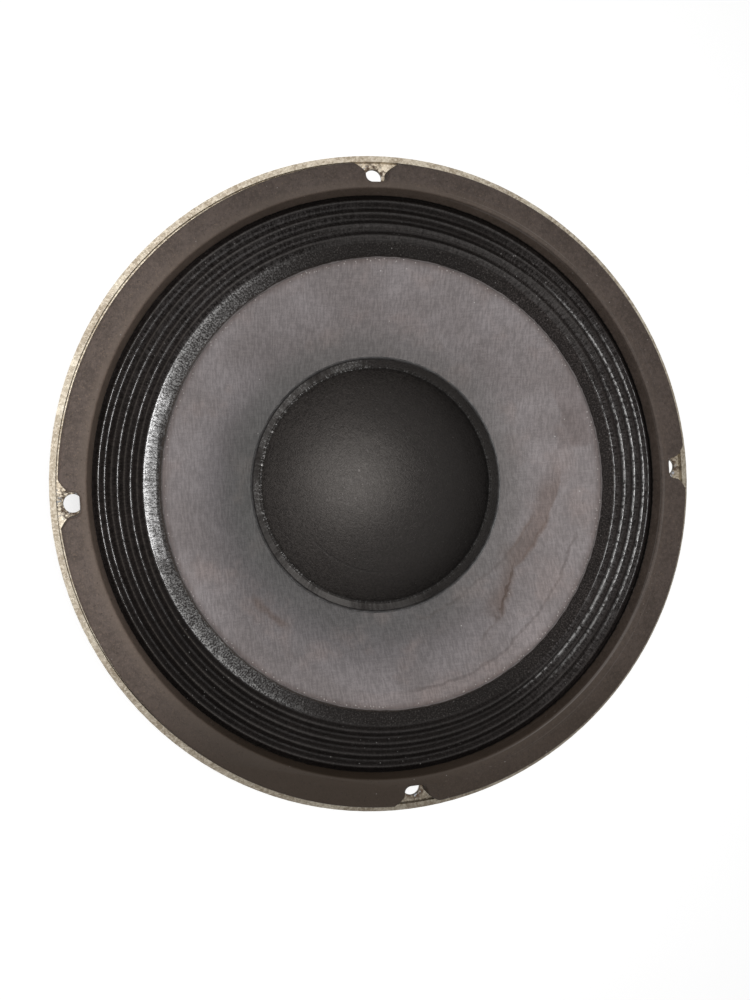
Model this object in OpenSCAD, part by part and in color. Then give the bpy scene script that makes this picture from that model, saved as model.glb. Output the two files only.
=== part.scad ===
// Ten inch woofer driver with a pleated cloth surround, standing on its magnet.
// The origin is the middle of the magnet's rear face and +Z points out of the cone.

/* [Frame] */
// Outer diameter of the stamped frame, over the rim lip
frame_od = 256.9; // [250:0.1:264]
// Thickness of the frame's steel sheet
sheet_t = 1.6; // [1.2:0.1:2]
// Height from the magnet's front plate to the floor of the mounting flange
frame_h = 75; // [73:1:80]
// Width of the upturned lip round the rim
lip_w = 2.2; // [1.6:0.1:2.8]
// Height of the lip above the flange floor
lip_h = 2.3; // [1.5:0.1:3.2]
// Depth of the seat that the surround is glued into, below the flange floor
seat_drop = 1.9; // [1.5:0.1:2.4]
// Radius of the foot that stands on the front plate
foot_r = 50; // [47:0.5:52]
// Radius of the hole in the foot, round the coil
foot_hole_r = 30; // [29:0.5:32]
// Height of the spider's seat above the front plate
spider_h = 18; // [16:0.5:20]
// Outer radius of the spider's seat
spider_seat_r = 68; // [66:0.5:72]
// Width of the spider's seat
spider_seat_w = 10.5; // [9:0.5:12]
// Height of the windows' sills above the spider's seat
window_sill = 6; // [5:0.5:8]
// Distance from the surround's seat inwards to the frame's throat
throat_inset = 12; // [10:0.5:14]
// Height of the throat below the flange floor
throat_drop = 11; // [9:0.5:13]
// Width of each of the frame's four arms
arm_w = 24; // [20:1:28]
// Height of the frame's windows
window_h = 36; // [30:1:38]
// Corner radius of the windows
window_corner_r = 8; // [4:1:10]
// Width of the pressed rib along each arm
rib_w = 10; // [9:0.5:12]
// Height of the pressed rib
rib_h = 2.6; // [2.2:0.1:3.4]
// Length of the pressed rib
rib_l = 38; // [34:1:42]

/* [Mounting] */
// Distance of the mounting holes' centres from the rim
bolt_edge = 7.7; // [7:0.1:8.4]
// Diameter of the mounting holes
bolt_hole_d = 6.8; // [5.5:0.1:7.4]

/* [Gasket] */
// Thickness of the gasket above the flange floor
gasket_t = 5.2; // [4:0.1:6.5]
// Width of the gasket's ring
gasket_w = 11.05; // [10:0.05:12]
// Clearance between the gasket and the rim lip
gasket_gap = 0.7; // [0.4:0.1:1]
// Width of a screw notch at the gasket's outer edge
notch_mouth_w = 19; // [16:0.5:22]
// Width of a screw notch at its inner end
notch_end_w = 9; // [8.4:0.1:11]
// Width of gasket left inside a notch
notch_land = 2; // [1.7:0.1:2.4]

/* [Surround] */
// Number of pleats
pleat_n = 4; // [3:1:5]
// Distance from one pleat to the next
pleat_pitch = 4.65; // [4:0.05:5.2]
// Height of a pleat from valley to crest
pleat_h = 1.6; // [1:0.1:2.2]
// Thickness of the doped cloth
cloth_t = 0.5; // [0.4:0.05:0.7]
// Width of the doped band glued over the cone's rim
band_w = 6.5; // [5:0.5:8]
// Drop of the band from the cone's rim to the first valley
band_drop = 2.3; // [1.5:0.1:3]

/* [Cone] */
// Height of the cone's rim above the flange floor
cone_rise = 3; // [2:0.1:4]
// Height of the cone's neck above the spider's seat
neck_rise = 8.2; // [7.4:0.1:9.2]
// Radius of the cone's flare along its profile
flare_r = 260; // [200:5:400]
// Thickness of the paper
paper_t = 0.8; // [0.6:0.1:1]
// Length of the cone's neck on the former
neck_l = 3; // [2:0.2:3.6]

/* [Dust cap] */
// Outer radius of the cap's glued flange
cap_r = 53.9; // [51:0.1:56]
// Width of the cap's glued flange
cap_flange_w = 2.9; // [2:0.1:4]
// Radius of curvature of the dome
dome_r = 91; // [80:1:110]
// Thickness of the cap
cap_t = 0.6; // [0.5:0.1:0.9]
// Width of the glue bead round the cap
glue_w = 1.3; // [0.8:0.1:2]

/* [Coil] */
// Inner diameter of the coil former
former_d = 50.8; // [50.4:0.1:51.2]
// Thickness of the former
former_t = 0.3; // [0.25:0.05:0.4]
// Thickness of the paper collar round the former
collar_t = 0.5; // [0.4:0.05:0.6]
// Thickness of the winding
winding_t = 0.9; // [0.7:0.05:1]
// Height of the winding
winding_h = 14; // [11:0.5:16]
// Radial clearance of the coil and former in the magnet gap
gap_clear = 0.4; // [0.32:0.02:0.5]

/* [Spider] */
// Distance from the spider's edge to the end of its seat
spider_margin = 3.5; // [3:0.1:5]
// Number of the spider's corrugations
spider_n = 7; // [5:1:8]
// Height of the spider's corrugations
spider_wave_h = 2.2; // [1.4:0.2:2.8]
// Thickness of the spider's cloth
spider_t = 0.6; // [0.5:0.1:0.8]

/* [Magnet] */
// Outer diameter of the ferrite magnet
magnet_od = 130; // [124:1:136]
// Inner diameter of the ferrite magnet
magnet_id = 62; // [58:1:66]
// Thickness of the magnet
magnet_t = 18; // [16:1:22]
// Outer diameter of the two plates
plate_od = 118; // [114:1:122]
// Thickness of the front plate
top_plate_t = 7; // [6:0.5:8]
// Thickness of the rear plate
back_plate_t = 7; // [6:0.5:8]
// Chamfer on the plates' outer edges
plate_chamfer = 1.2; // [0.6:0.1:2]
// Height of the pole above the front plate
pole_rise = 1; // [0:0.5:2]
// Diameter of the vent through the pole
vent_d = 18; // [14:1:19]
// Diameter of the recess that holds the vent screen
screen_d = 23; // [22:0.5:26]
// Thickness of the vent screen
screen_t = 0.8; // [0.6:0.1:1.2]
// Diameter of the rivets that hold the frame to the front plate
rivet_d = 5; // [4:0.5:6]

/* [Terminals] */
// Length of the terminal board across the arm
board_l = 44; // [42:1:48]
// Width of the terminal board along the arm
board_w = 18; // [16:1:20]
// Thickness of the terminal board
board_t = 1.6; // [1.2:0.1:2]
// Distance between the two terminals
tag_pitch = 32; // [31:1:34]
// Width of a terminal's blade
tag_w = 6.3; // [5.2:0.1:6.4]
// Thickness of a terminal
tag_t = 0.8; // [0.6:0.1:1]
// Length of the blade beyond the board
blade_l = 11; // [9:1:13]
// Diameter of the terminal rivets
small_rivet_d = 3; // [2.6:0.1:3.2]
// Diameter of the tinsel leads
lead_d = 1.8; // [1.4:0.1:2.2]
// Distance of the eyelets from the axis
eyelet_r = 40; // [38:0.5:42]
// Distance between the two eyelets
eyelet_pitch = 20; // [16:1:24]

/* [Hidden] */

$fn = 96;
arc_n = 5;           // steps in a bend of the sheet
eps = 0.01;          // overshoot of a cut past a face
over = 5;            // overshoot of a cut out of the part
body_gap = 0.3;      // gap between the moving cone and what is glued to it
fit_clear = 0.05;    // radial clearance of rivets and pins in their holes
fit_ring = 0.02;     // radial clearance of rings that are pressed or glued together
quarter = 90;
arm_angles = [45, 135, 225, 315];
hole_angles = [0, 90, 180, 270];
terminal_angle = arm_angles[2];

// Heights, from the magnet's rear face upwards
z_magnet = back_plate_t;
z_top_plate = z_magnet + magnet_t;
z_foot = z_top_plate + top_plate_t;
z_spider = z_foot + spider_h;
z_floor = z_foot + frame_h;
z_seat = z_floor - seat_drop;
z_front = z_floor + gasket_t;
z_rim = z_floor + cone_rise;
z_neck = z_spider + neck_rise;

// Radii
frame_r = frame_od / 2;
lip_in_r = frame_r - lip_w;
gasket_r = lip_in_r - gasket_gap;
gasket_in_r = gasket_r - gasket_w;
bolt_r = frame_r - bolt_edge;
seat_land = 1.7;
seat_r = gasket_in_r + seat_land;
notch_end_r = gasket_in_r + notch_land;
floor_r = seat_r + seat_drop;
throat_r = seat_r - throat_inset;
ledge_in_r = spider_seat_r - spider_seat_w;
spider_r = spider_seat_r - spider_margin;
rivet_circle_r = (foot_hole_r + foot_r) / 2;
former_in_r = former_d / 2;
former_r = former_in_r + former_t;
collar_r = former_r + collar_t;
coil_r = former_r + winding_t;
pole_r = former_in_r - gap_clear;
top_bore_r = coil_r + gap_clear;
magnet_r = magnet_od / 2;
plate_r = plate_od / 2;

// ---------- shared functions ----------

function unit(v) = v / norm(v);
function mix(a, b, s) = a + (b - a) * s;
function smooth(s) = s * s * (3 - 2 * s);
function reversed(p) = [for (i = [len(p) - 1 : -1 : 0]) p[i]];

// The left-hand normal of a flat path at point i, lengthened so that walls keep their thickness
function side(p, i) = let (
        a = unit(p[max(i, 1)] - p[max(i, 1) - 1]),
        b = unit(p[min(i, len(p) - 2) + 1] - p[min(i, len(p) - 2)]),
        m = unit(a + b))
    [-m.y, m.x] / (m * a);

// A path moved sideways by d, to its left where d is positive
function shifted(p, d) = [for (i = [0 : len(p) - 1]) p[i] + side(p, i) * d];

// The outline of a sheet of thickness t that lies to the left of a path
function sheet(p, t) = concat(p, reversed(shifted(p, t)));

// A bend of radius r at corner b between a and c
function bend(a, b, c, r) = let (
        u = unit(a - b),
        v = unit(c - b),
        half = acos(u * v) / 2,
        mid = b + unit(u + v) * r / sin(half),
        p = b + u * r / tan(half) - mid,
        q = b + v * r / tan(half) - mid)
    [for (i = [0 : arc_n]) let (s = i / arc_n) mid + unit(mix(p, q, s)) * r];

// ---------- the frame's own section ----------

bend_r = 3;
throat_flare = 1;

// Corners of the frame's front surface, from the foot's hole to the rim
foot_in = [foot_hole_r, z_foot + sheet_t];
foot_out = [foot_r, z_foot + sheet_t];
ledge_in = [ledge_in_r, z_spider];
ledge_out = [spider_seat_r, z_spider];
throat_low = [throat_r, z_floor - throat_drop];
throat_high = [throat_r + throat_flare, z_seat];
seat_out = [seat_r, z_seat];
floor_in = [floor_r, z_floor];
floor_out = [frame_r, z_floor];

frame_front = concat(
    [foot_in],
    bend(foot_in, foot_out, ledge_in, bend_r),
    bend(foot_out, ledge_in, ledge_out, bend_r),
    bend(ledge_in, ledge_out, throat_low, bend_r),
    bend(ledge_out, throat_low, throat_high, 2 * bend_r),
    bend(throat_low, throat_high, seat_out, bend_r),
    [seat_out, floor_in, floor_out]
);

// The arms run along a straight slope between the spider's seat and the throat
arm_dir = unit(throat_low - ledge_out);
arm_slope = atan2(arm_dir.y, arm_dir.x);
window_z = z_spider + window_sill;
window_top_z = window_z + window_h;
function arm_r_at(z) = spider_seat_r + (z - z_spider) / tan(arm_slope);
function window_half(r) = r * sin(quarter / 2 - asin(arm_w / 2 / r));
arm_mid = mix(ledge_out, throat_low, 0.5) + [arm_dir.y, -arm_dir.x] * sheet_t;

// The rounded outline of a window, seen along the radius: [across, up]
function window_outline() = let (
        lo = window_half(arm_r_at(window_z)),
        hi = window_half(arm_r_at(window_top_z)),
        a = [-lo, window_z],
        b = [lo, window_z],
        c = [hi, window_top_z],
        d = [-hi, window_top_z],
        r = window_corner_r)
    concat(bend(d, a, b, r), bend(a, b, c, r), bend(b, c, d, r), bend(c, d, a, r));

// Places what is made flat on the outer face of the arm at an angle:
// X runs up along the arm, Y across it and -Z out of the frame
module on_arm(angle) {
    rotate([0, 0, angle])
        translate([arm_mid.x, 0, arm_mid.y])
            rotate([0, -arm_slope, 0])
                children();
}

// A slot-shaped block with round ends along X, centred, from z0 to z1
module slot_block(l, w, z0, z1) {
    translate([0, 0, z0]) {
        translate([-(l - w) / 2, -w / 2, 0])
            cube([l - w, w, z1 - z0]);
        for (x = [-(l - w) / 2, (l - w) / 2])
            translate([x, 0, 0])
                cylinder(h = z1 - z0, d = w);
    }
}

board_rivets_x = [-5, 5];

module basket() {
    color([0.72, 0.69, 0.6])
    difference() {
        union() {
            rotate_extrude()
                polygon(sheet(frame_front, -sheet_t));
            rotate_extrude()
                polygon([
                    [lip_in_r, z_floor - sheet_t / 2],
                    [frame_r, z_floor - sheet_t / 2],
                    [frame_r, z_floor + lip_h],
                    [lip_in_r, z_floor + lip_h]
                ]);
            for (a = arm_angles)
                on_arm(a)
                    slot_block(rib_l, rib_w, -rib_h, sheet_t / 2);
        }
        for (a = hole_angles)
            rotate([0, 0, a])
                rotate([quarter, 0, quarter])
                    translate([0, 0, ledge_in_r])
                        linear_extrude(height = frame_r)
                            polygon(window_outline());
        for (a = arm_angles)
            on_arm(a)
                slot_block(rib_l - 2 * sheet_t, rib_w - 2 * sheet_t, sheet_t - rib_h, over);
        for (x = board_rivets_x)
            on_arm(terminal_angle)
                translate([x, 0, -rib_h - over])
                    cylinder(h = over + rib_h, d = small_rivet_d + 2 * fit_clear);
        for (a = hole_angles)
            rotate([0, 0, a])
                translate([bolt_r, 0, z_floor - sheet_t - over])
                    cylinder(h = sheet_t + 2 * over, d = bolt_hole_d);
        for (a = hole_angles)
            rotate([0, 0, a])
                translate([rivet_circle_r, 0, z_foot - over])
                    cylinder(h = sheet_t + 2 * over, d = rivet_d + 2 * fit_clear);
    }
}

// ---------- gasket ----------

gasket_round = 1.6;
gasket_lip_w = 1.4;
notch_corner = 2.5;
notch_steps = 8;

// Half of a notch's outline, from the gasket's outer edge to its inner end
function notch_half() = let (
        inner = notch_end_r + notch_corner,
        outer = gasket_r)
    concat(
        [[outer + over, notch_mouth_w / 2]],
        [for (i = [0 : notch_steps]) let (s = i / notch_steps)
            [mix(outer, inner, s), mix(notch_mouth_w, notch_end_w, smooth(pow(s, 0.7))) / 2]],
        [for (i = [1 : arc_n]) let (a = quarter * i / arc_n)
            [inner - notch_corner * sin(a), notch_end_w / 2 - notch_corner * (1 - cos(a))]]
    );

function mirrored(p) = [for (q = reversed(p)) [q.x, -q.y]];

// A quarter round of radius r about c, from angle a0 to a1
function round_corner(c, r, a0, a1) =
    [for (i = [0 : arc_n]) let (a = mix(a0, a1, i / arc_n)) c + r * [cos(a), sin(a)]];

module gasket() {
    color([0.35, 0.31, 0.28])
    difference() {
        rotate_extrude()
            polygon(concat(
                [[floor_r, z_floor], [gasket_r, z_floor]],
                round_corner([gasket_r - gasket_round, z_front - gasket_round], gasket_round, 0, quarter),
                round_corner([gasket_in_r + gasket_round, z_front - gasket_round],
                    gasket_round, quarter, 2 * quarter),
                [
                    [gasket_in_r, z_seat + cloth_t],
                    [gasket_in_r + gasket_lip_w, z_seat + cloth_t],
                    [gasket_in_r + gasket_lip_w, z_floor]
                ]
            ));
        for (a = hole_angles)
            rotate([0, 0, a])
                translate([0, 0, z_floor - eps])
                    linear_extrude(height = gasket_t + over)
                        polygon(concat(notch_half(), mirrored(notch_half())));
    }
}

// ---------- surround ----------

groove_inset = 0.5;
groove_r = gasket_in_r - groove_inset;
band_out_r = groove_r - pleat_n * pleat_pitch;
cone_r = band_out_r - band_w;
pleat_steps = 10;
z_flange = z_seat + cloth_t;
z_band_low = z_rim - band_drop;
surround_r = seat_r - groove_inset;

// Height of the pleats' upper surface at radius r
function pleat_z(r) =
    mix(z_band_low, z_flange, (r - band_out_r) / (groove_r - band_out_r))
    + pleat_h / 2 * (1 - cos(4 * quarter * (r - band_out_r) / pleat_pitch));

band_mid = [mix(cone_r, band_out_r, 0.5), mix(z_rim, z_band_low, 0.42)];
surround_top = concat(
    [[cone_r, z_rim], band_mid],
    [for (i = [0 : pleat_n * pleat_steps]) let (r = band_out_r + i * pleat_pitch / pleat_steps)
        [r, pleat_z(r)]],
    [[surround_r, z_flange]]
);

module surround() {
    color([0.13, 0.13, 0.13])
    rotate_extrude()
        polygon(sheet(surround_top, -cloth_t));
}

// ---------- cone ----------

cap_in_r = cap_r - cap_flange_w;
glue_r = cap_r + glue_w;
cone_steps = 10;
rim_inset = 1.2;

// The rim turns over under the band, a gap below its cloth
cone_rim = shifted([
    [cone_r, z_rim],
    band_mid,
    mix([band_out_r, z_band_low], band_mid, rim_inset / (band_out_r - band_mid.x))
], -(cloth_t + body_gap));

// Centre of the arc that the cone's front surface follows
cone_a = [collar_r, z_neck];
cone_b = cone_rim[0];
cone_chord = cone_b - cone_a;
cone_centre = cone_a + cone_chord / 2
    + unit([cone_chord.y, -cone_chord.x]) * sqrt(flare_r * flare_r - cone_chord * cone_chord / 4);
function cone_z(r) = cone_centre.y + sqrt(flare_r * flare_r - pow(r - cone_centre.x, 2));
function on_cone(r) = [r, cone_z(r)];
function cone_tilt(r) = atan2(cone_centre.x - r, cone_z(r) - cone_centre.y);

// The front surface from the neck outwards, with corners where the cap and its glue end
cone_front = concat(
    [[collar_r, z_neck - neck_l]],
    [for (i = [0 : cone_steps]) on_cone(mix(cone_a.x, cap_in_r, i / cone_steps))],
    [on_cone(cap_r), on_cone(glue_r)],
    [for (i = [1 : cone_steps - 1]) on_cone(mix(glue_r, cone_b.x, i / cone_steps))],
    cone_rim
);

// Places what is made flat on the cone's front face at radius r and an offset y across
// the terminals' direction: X runs up the cone and Z points to the front
module on_cone_face(r, y) {
    rotate([0, 0, terminal_angle + asin(y / r)])
        translate([r, 0, cone_z(r)])
            rotate([0, -cone_tilt(r), 0])
                children();
}

eyelet_bore_r = 1.2;
eyelet_wall_r = 1.7;
eyelet_flange_r = 2.7;
eyelet_flange_t = 0.4;
eyelet_seat = 0.1;
eyelet_y = [-eyelet_pitch / 2, eyelet_pitch / 2];

module cone() {
    color([0.49, 0.47, 0.48])
    difference() {
        rotate_extrude()
            polygon(sheet(cone_front, -paper_t));
        for (y = eyelet_y)
            on_cone_face(eyelet_r, y)
                translate([0, 0, -over])
                    cylinder(h = 2 * over, r = eyelet_wall_r + fit_clear);
    }
}

module cone_eyelets() {
    back = -paper_t - eyelet_seat;
    color([0.72, 0.58, 0.32])
    for (y = eyelet_y)
        on_cone_face(eyelet_r, y)
            rotate_extrude()
                polygon([
                    [eyelet_bore_r, back - eyelet_flange_t],
                    [eyelet_flange_r, back - eyelet_flange_t],
                    [eyelet_flange_r, back],
                    [eyelet_wall_r, back],
                    [eyelet_wall_r, eyelet_seat],
                    [eyelet_flange_r, eyelet_seat],
                    [eyelet_flange_r, eyelet_seat + eyelet_flange_t],
                    [eyelet_bore_r, eyelet_seat + eyelet_flange_t]
                ]);
}

// A low blob of solder on a flat face, of radius r and height h, rising along Z
module blob(r, h) {
    big = (r * r + h * h) / (2 * h);
    intersection() {
        translate([0, 0, h - big])
            sphere(r = big);
        cylinder(h = h + eps, r = r);
    }
}

eyelet_blob_r = 2;
eyelet_blob_h = 0.9;
eyelet_back = paper_t + eyelet_seat + eyelet_flange_t;

module eyelet_solder() {
    color([0.78, 0.78, 0.76])
    for (y = eyelet_y)
        on_cone_face(eyelet_r, y)
            translate([0, 0, -eyelet_back])
                rotate([2 * quarter, 0, 0])
                    blob(eyelet_blob_r, eyelet_blob_h);
}

// ---------- dust cap ----------

cap_flange = [on_cone(cap_r), on_cone(cap_in_r)];
dome_in_r = cap_in_r - 0.8;
dome_steps = 16;
dome_seat_z = cone_z(cap_in_r) + 0.7;
dome_centre_z = dome_seat_z - sqrt(dome_r * dome_r - dome_in_r * dome_in_r);
dome_apex_z = dome_centre_z + dome_r;

// The cap's underside from the rim of its flange to the axis
cap_under = concat(
    cap_flange,
    [for (i = [0 : dome_steps - 1]) let (r = dome_in_r * (1 - i / dome_steps))
        [r, dome_centre_z + sqrt(dome_r * dome_r - r * r)]],
    [[0, dome_apex_z]]
);

module dust_cap() {
    color([0.17, 0.17, 0.17])
    rotate_extrude()
        polygon(concat(
            cap_under,
            [[0, dome_apex_z + cap_t]],
            reversed([for (i = [0 : len(cap_under) - 2]) shifted(cap_under, -cap_t)[i]])
        ));
}

module dust_cap_glue() {
    flange_top = on_cone(cap_r) + side(cap_flange, 0) * -cap_t;
    color([0.1, 0.1, 0.1])
    rotate_extrude()
        polygon([
            on_cone(cap_r),
            on_cone(glue_r),
            mix(on_cone(glue_r), flange_top, 0.5) + [0.12, 0.12],
            flange_top
        ]);
}

// ---------- coil and its wires ----------

z_coil_mid = z_top_plate + top_plate_t / 2;
z_coil = z_coil_mid - winding_h / 2;
z_coil_top = z_coil + winding_h;
former_end = 1;
z_former = z_coil - former_end;
former_rise = 2;
z_former_top = z_neck + former_rise;
collar_gap = 0.5;
slot_w = 1.2;
wire_clear = 0.03;
coil_wire_d = collar_t - 2 * wire_clear;
wire_r = former_r + collar_t / 2;
wire_lift = coil_wire_d / 2 + body_gap;
wire_bend = 0.5;

module tube(r0, r1, z0, z1) {
    difference() {
        translate([0, 0, z0])
            cylinder(h = z1 - z0, r = r1);
        translate([0, 0, z0 - over])
            cylinder(h = z1 - z0 + 2 * over, r = r0);
    }
}

module coil_former() {
    color([0.45, 0.33, 0.2])
        tube(former_in_r, former_r, z_former, z_former_top);
}

// The angle from the terminals' direction at which an offset y lies at radius r
function turn(y, r) = asin(y / r);
wire_turn = turn(eyelet_pitch / 2, eyelet_r);

module former_collar() {
    color([0.62, 0.52, 0.38])
    difference() {
        tube(former_r + fit_ring, collar_r, z_coil_top + collar_gap, z_former_top);
        for (a = [-wire_turn, wire_turn])
            rotate([0, 0, terminal_angle + a])
                translate([0, -slot_w / 2, z_coil_top])
                    cube([collar_r + over, slot_w, z_former_top]);
    }
}

module voice_coil() {
    color([0.72, 0.4, 0.22])
        tube(former_r, coil_r, z_coil, z_coil_top);
}

// A round tube of radius r swept along points p, with n sides; ref is never along the path
module swept_tube(p, r, n, ref) {
    last = len(p) - 1;
    points = [
        for (i = [0 : last]) let (
                t = unit(p[min(i + 1, last)] - p[max(i - 1, 0)]),
                u = unit(cross(ref, t)),
                w = cross(t, u))
            for (k = [0 : n - 1]) let (a = 4 * quarter * k / n) p[i] + r * (cos(a) * u + sin(a) * w)
    ];
    sides = [
        for (i = [0 : last - 1])
            for (k = [0 : n - 1]) let (m = (k + 1) % n)
                [i * n + k, (i + 1) * n + k, (i + 1) * n + m, i * n + m]
    ];
    polyhedron(
        points = points,
        faces = concat([[for (k = [0 : n - 1]) k]], sides, [[for (k = [n - 1 : -1 : 0]) last * n + k]])
    );
}

// A smooth route through points p, with n steps between each two
function smooth_route(p, n) = let (last = len(p) - 1) concat(
    [for (i = [0 : last - 1]) let (
            a = p[max(i - 1, 0)],
            b = p[i],
            c = p[i + 1],
            d = p[min(i + 2, last)])
        for (k = [0 : n - 1]) let (s = k / n)
            (2 * b + (c - a) * s + (2 * a - 5 * b + 4 * c - d) * s * s
                + (3 * b - a - 3 * c + d) * s * s * s) / 2],
    [p[last]]
);

wire_sides = 6;
wire_steps = 8;
wire_route = concat(
    [[wire_r, 0, z_coil_top], [wire_r, 0, z_neck + wire_bend]],
    [for (i = [1 : wire_steps]) let (r = mix(collar_r, eyelet_r - eyelet_flange_r, i / wire_steps))
        [r, 0, cone_z(r) + wire_lift]]
);

// The flat wire from the coil, up a slot in the collar and over the cone to its eyelet
module coil_wire(direction) {
    color([0.72, 0.4, 0.22])
    rotate([0, 0, terminal_angle + direction * wire_turn])
        swept_tube(wire_route, coil_wire_d / 2, wire_sides, [0, 1, 0]);
}

module coil_wire_positive() {
    coil_wire(1);
}

module coil_wire_negative() {
    coil_wire(-1);
}

// ---------- spider ----------

spider_in_r = collar_r + body_gap;
spider_flat_gap = 1;
spider_flat_r = ledge_in_r - spider_flat_gap;
spider_inner_flat = 2;
spider_steps = 8;

function spider_z(r) = let (
        a = spider_in_r + spider_inner_flat,
        pitch = (spider_flat_r - a) / spider_n)
    z_spider + spider_t + spider_wave_h / 2 * sin(4 * quarter * (r - a) / pitch);

spider_top = concat(
    [[spider_in_r, z_spider + spider_t]],
    [for (i = [0 : spider_n * spider_steps])
        let (r = mix(spider_in_r + spider_inner_flat, spider_flat_r, i / (spider_n * spider_steps)))
        [r, spider_z(r)]],
    [[spider_r, z_spider + spider_t]]
);

module spider() {
    color([0.66, 0.5, 0.24])
    rotate_extrude()
        polygon(sheet(spider_top, -spider_t));
}

// ---------- terminals and leads ----------

board_top = -rib_h;
board_bottom = board_top - board_t;
tag_bottom = board_bottom - tag_t;
tag_y = [-tag_pitch / 2, tag_pitch / 2];
tag_end_w = 4;
tag_corner = 1;
tag_neck = 2;
tag_rise = 3;
tag_low_x = -board_w / 2 - blade_l;
tag_high_x = board_w / 2 + tag_rise;
tag_rivet_x = 0;
tag_hole_d = 1.6;
tag_hole_x = 4;
rivet_head_r = 2.6;
rivet_head_t = 0.9;

module terminal_board() {
    color([0.42, 0.27, 0.15])
    on_arm(terminal_angle)
        difference() {
            translate([-board_w / 2, -board_l / 2, board_bottom])
                cube([board_w, board_l, board_t]);
            for (x = board_rivets_x)
                translate([x, 0, board_bottom - over])
                    cylinder(h = board_t + 2 * over, d = small_rivet_d + 2 * fit_clear);
            for (y = tag_y)
                translate([tag_rivet_x, y, board_bottom - over])
                    cylinder(h = board_t + 2 * over, d = small_rivet_d + 2 * fit_clear);
        }
}

// One terminal: a blade with a hole below the board and a soldered end above it
module terminal(y) {
    neck_x = board_w / 2 - tag_neck;
    color([0.78, 0.68, 0.42])
    on_arm(terminal_angle)
        translate([0, y, tag_bottom])
            difference() {
                linear_extrude(height = tag_t)
                    polygon([
                        [tag_low_x, -tag_w / 2 + tag_corner], [tag_low_x + tag_corner, -tag_w / 2],
                        [neck_x, -tag_w / 2], [neck_x + tag_corner, -tag_end_w / 2],
                        [tag_high_x, -tag_end_w / 2], [tag_high_x, tag_end_w / 2],
                        [neck_x + tag_corner, tag_end_w / 2], [neck_x, tag_w / 2],
                        [tag_low_x + tag_corner, tag_w / 2], [tag_low_x, tag_w / 2 - tag_corner]
                    ]);
                translate([tag_rivet_x, 0, -over])
                    cylinder(h = 2 * over, d = small_rivet_d + 2 * fit_clear);
                translate([tag_low_x + tag_hole_x, 0, -over])
                    cylinder(h = 2 * over, d = tag_hole_d);
            }
}

module terminal_positive() {
    terminal(tag_y[1]);
}

module terminal_negative() {
    terminal(tag_y[0]);
}

// A rivet along Z with a head below z0 and one above z1
module rivet(d, head_r, head_t, z0, z1) {
    translate([0, 0, z0])
        cylinder(h = z1 - z0, d = d);
    translate([0, 0, z0 - head_t])
        cylinder(h = head_t, r = head_r);
    translate([0, 0, z1])
        cylinder(h = head_t, r = head_r);
}

module terminal_rivets() {
    color([0.8, 0.8, 0.78])
    on_arm(terminal_angle) {
        for (x = board_rivets_x)
            translate([x, 0, 0])
                rivet(small_rivet_d, rivet_head_r - 0.2, rivet_head_t, board_bottom, sheet_t - rib_h);
        for (y = tag_y)
            translate([tag_rivet_x, y, 0])
                rivet(small_rivet_d, rivet_head_r, rivet_head_t, tag_bottom, board_top);
    }
}

tag_blob_gap = 0.2;
tag_blob_r = tag_rise / 2 - tag_blob_gap;
tag_blob_h = 0.9;
tag_blob_x = board_w / 2 + tag_rise / 2;

module terminal_solder() {
    color([0.78, 0.78, 0.76])
    on_arm(terminal_angle)
        for (y = tag_y)
            translate([tag_blob_x, y, board_bottom])
                blob(tag_blob_r, tag_blob_h);
}

// Where a point on the terminal arm lies: [outwards, up] from [along the arm, off its face]
function arm_place(x, z) = arm_mid + arm_dir * x + [-arm_dir.y, arm_dir.x] * z;
// Where a point behind the cone's face lies, at radius r and depth d
function behind_cone(r, d) = on_cone(r) + [sin(cone_tilt(r)), -cos(cone_tilt(r))] * d;

lead_gap = 0.1;
lead_stub = 5;
lead_tail = 4;
lead_sag = 2.5;
lead_sides = 8;
lead_from = arm_place(tag_blob_x, board_bottom + tag_blob_h + lead_gap);
lead_off = arm_place(tag_blob_x, board_bottom + tag_blob_h + lead_stub);
lead_near = behind_cone(eyelet_r, eyelet_back + eyelet_blob_h + lead_tail);
lead_to = behind_cone(eyelet_r, eyelet_back + eyelet_blob_h + body_gap);
lead_sag_z = lead_near.y - lead_sag;

// A point of a lead, at [outwards, up] q and an offset y across the terminals' direction
function lead_point(q, y) = [sqrt(q.x * q.x - y * y), y, q.y];
lead_points = [
    [lead_from.x, tag_pitch / 2, lead_from.y],
    [lead_off.x, tag_pitch / 2, lead_off.y],
    [mix(lead_off.x, lead_near.x, 0.35), mix(tag_pitch, eyelet_pitch, 0.25) / 2,
        mix(lead_off.y, lead_sag_z, 0.55)],
    [mix(lead_off.x, lead_near.x, 0.7), mix(tag_pitch, eyelet_pitch, 0.65) / 2, lead_sag_z],
    lead_point(lead_near, eyelet_pitch / 2 * lead_near.x / eyelet_r),
    lead_point(lead_to, eyelet_pitch / 2 * lead_to.x / eyelet_r)
];

// A braided lead from its terminal, through a window, to the eyelet behind the cone
module tinsel_lead(direction) {
    route = [for (q = smooth_route(lead_points, 4)) [q.x, direction * q.y, q.z]];
    color([0.62, 0.5, 0.38])
    rotate([0, 0, terminal_angle])
        swept_tube(route, lead_d / 2, lead_sides, [0, 1, 0]);
}

module tinsel_lead_positive() {
    tinsel_lead(1);
}

module tinsel_lead_negative() {
    tinsel_lead(-1);
}

// ---------- magnet assembly ----------

screen_seat = 1.2;
screen_gap = 0.1;
rivet_depth = 5;
frame_rivet_head_r = 4.6;
frame_rivet_head_t = 1.6;

// A disc from z0 to z1 whose outer edges are chamfered by c
module chamfered_disc(r, z0, z1, c) {
    rotate_extrude()
        polygon([[0, z0], [r - c, z0], [r, z0 + c], [r, z1 - c], [r - c, z1], [0, z1]]);
}

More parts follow.
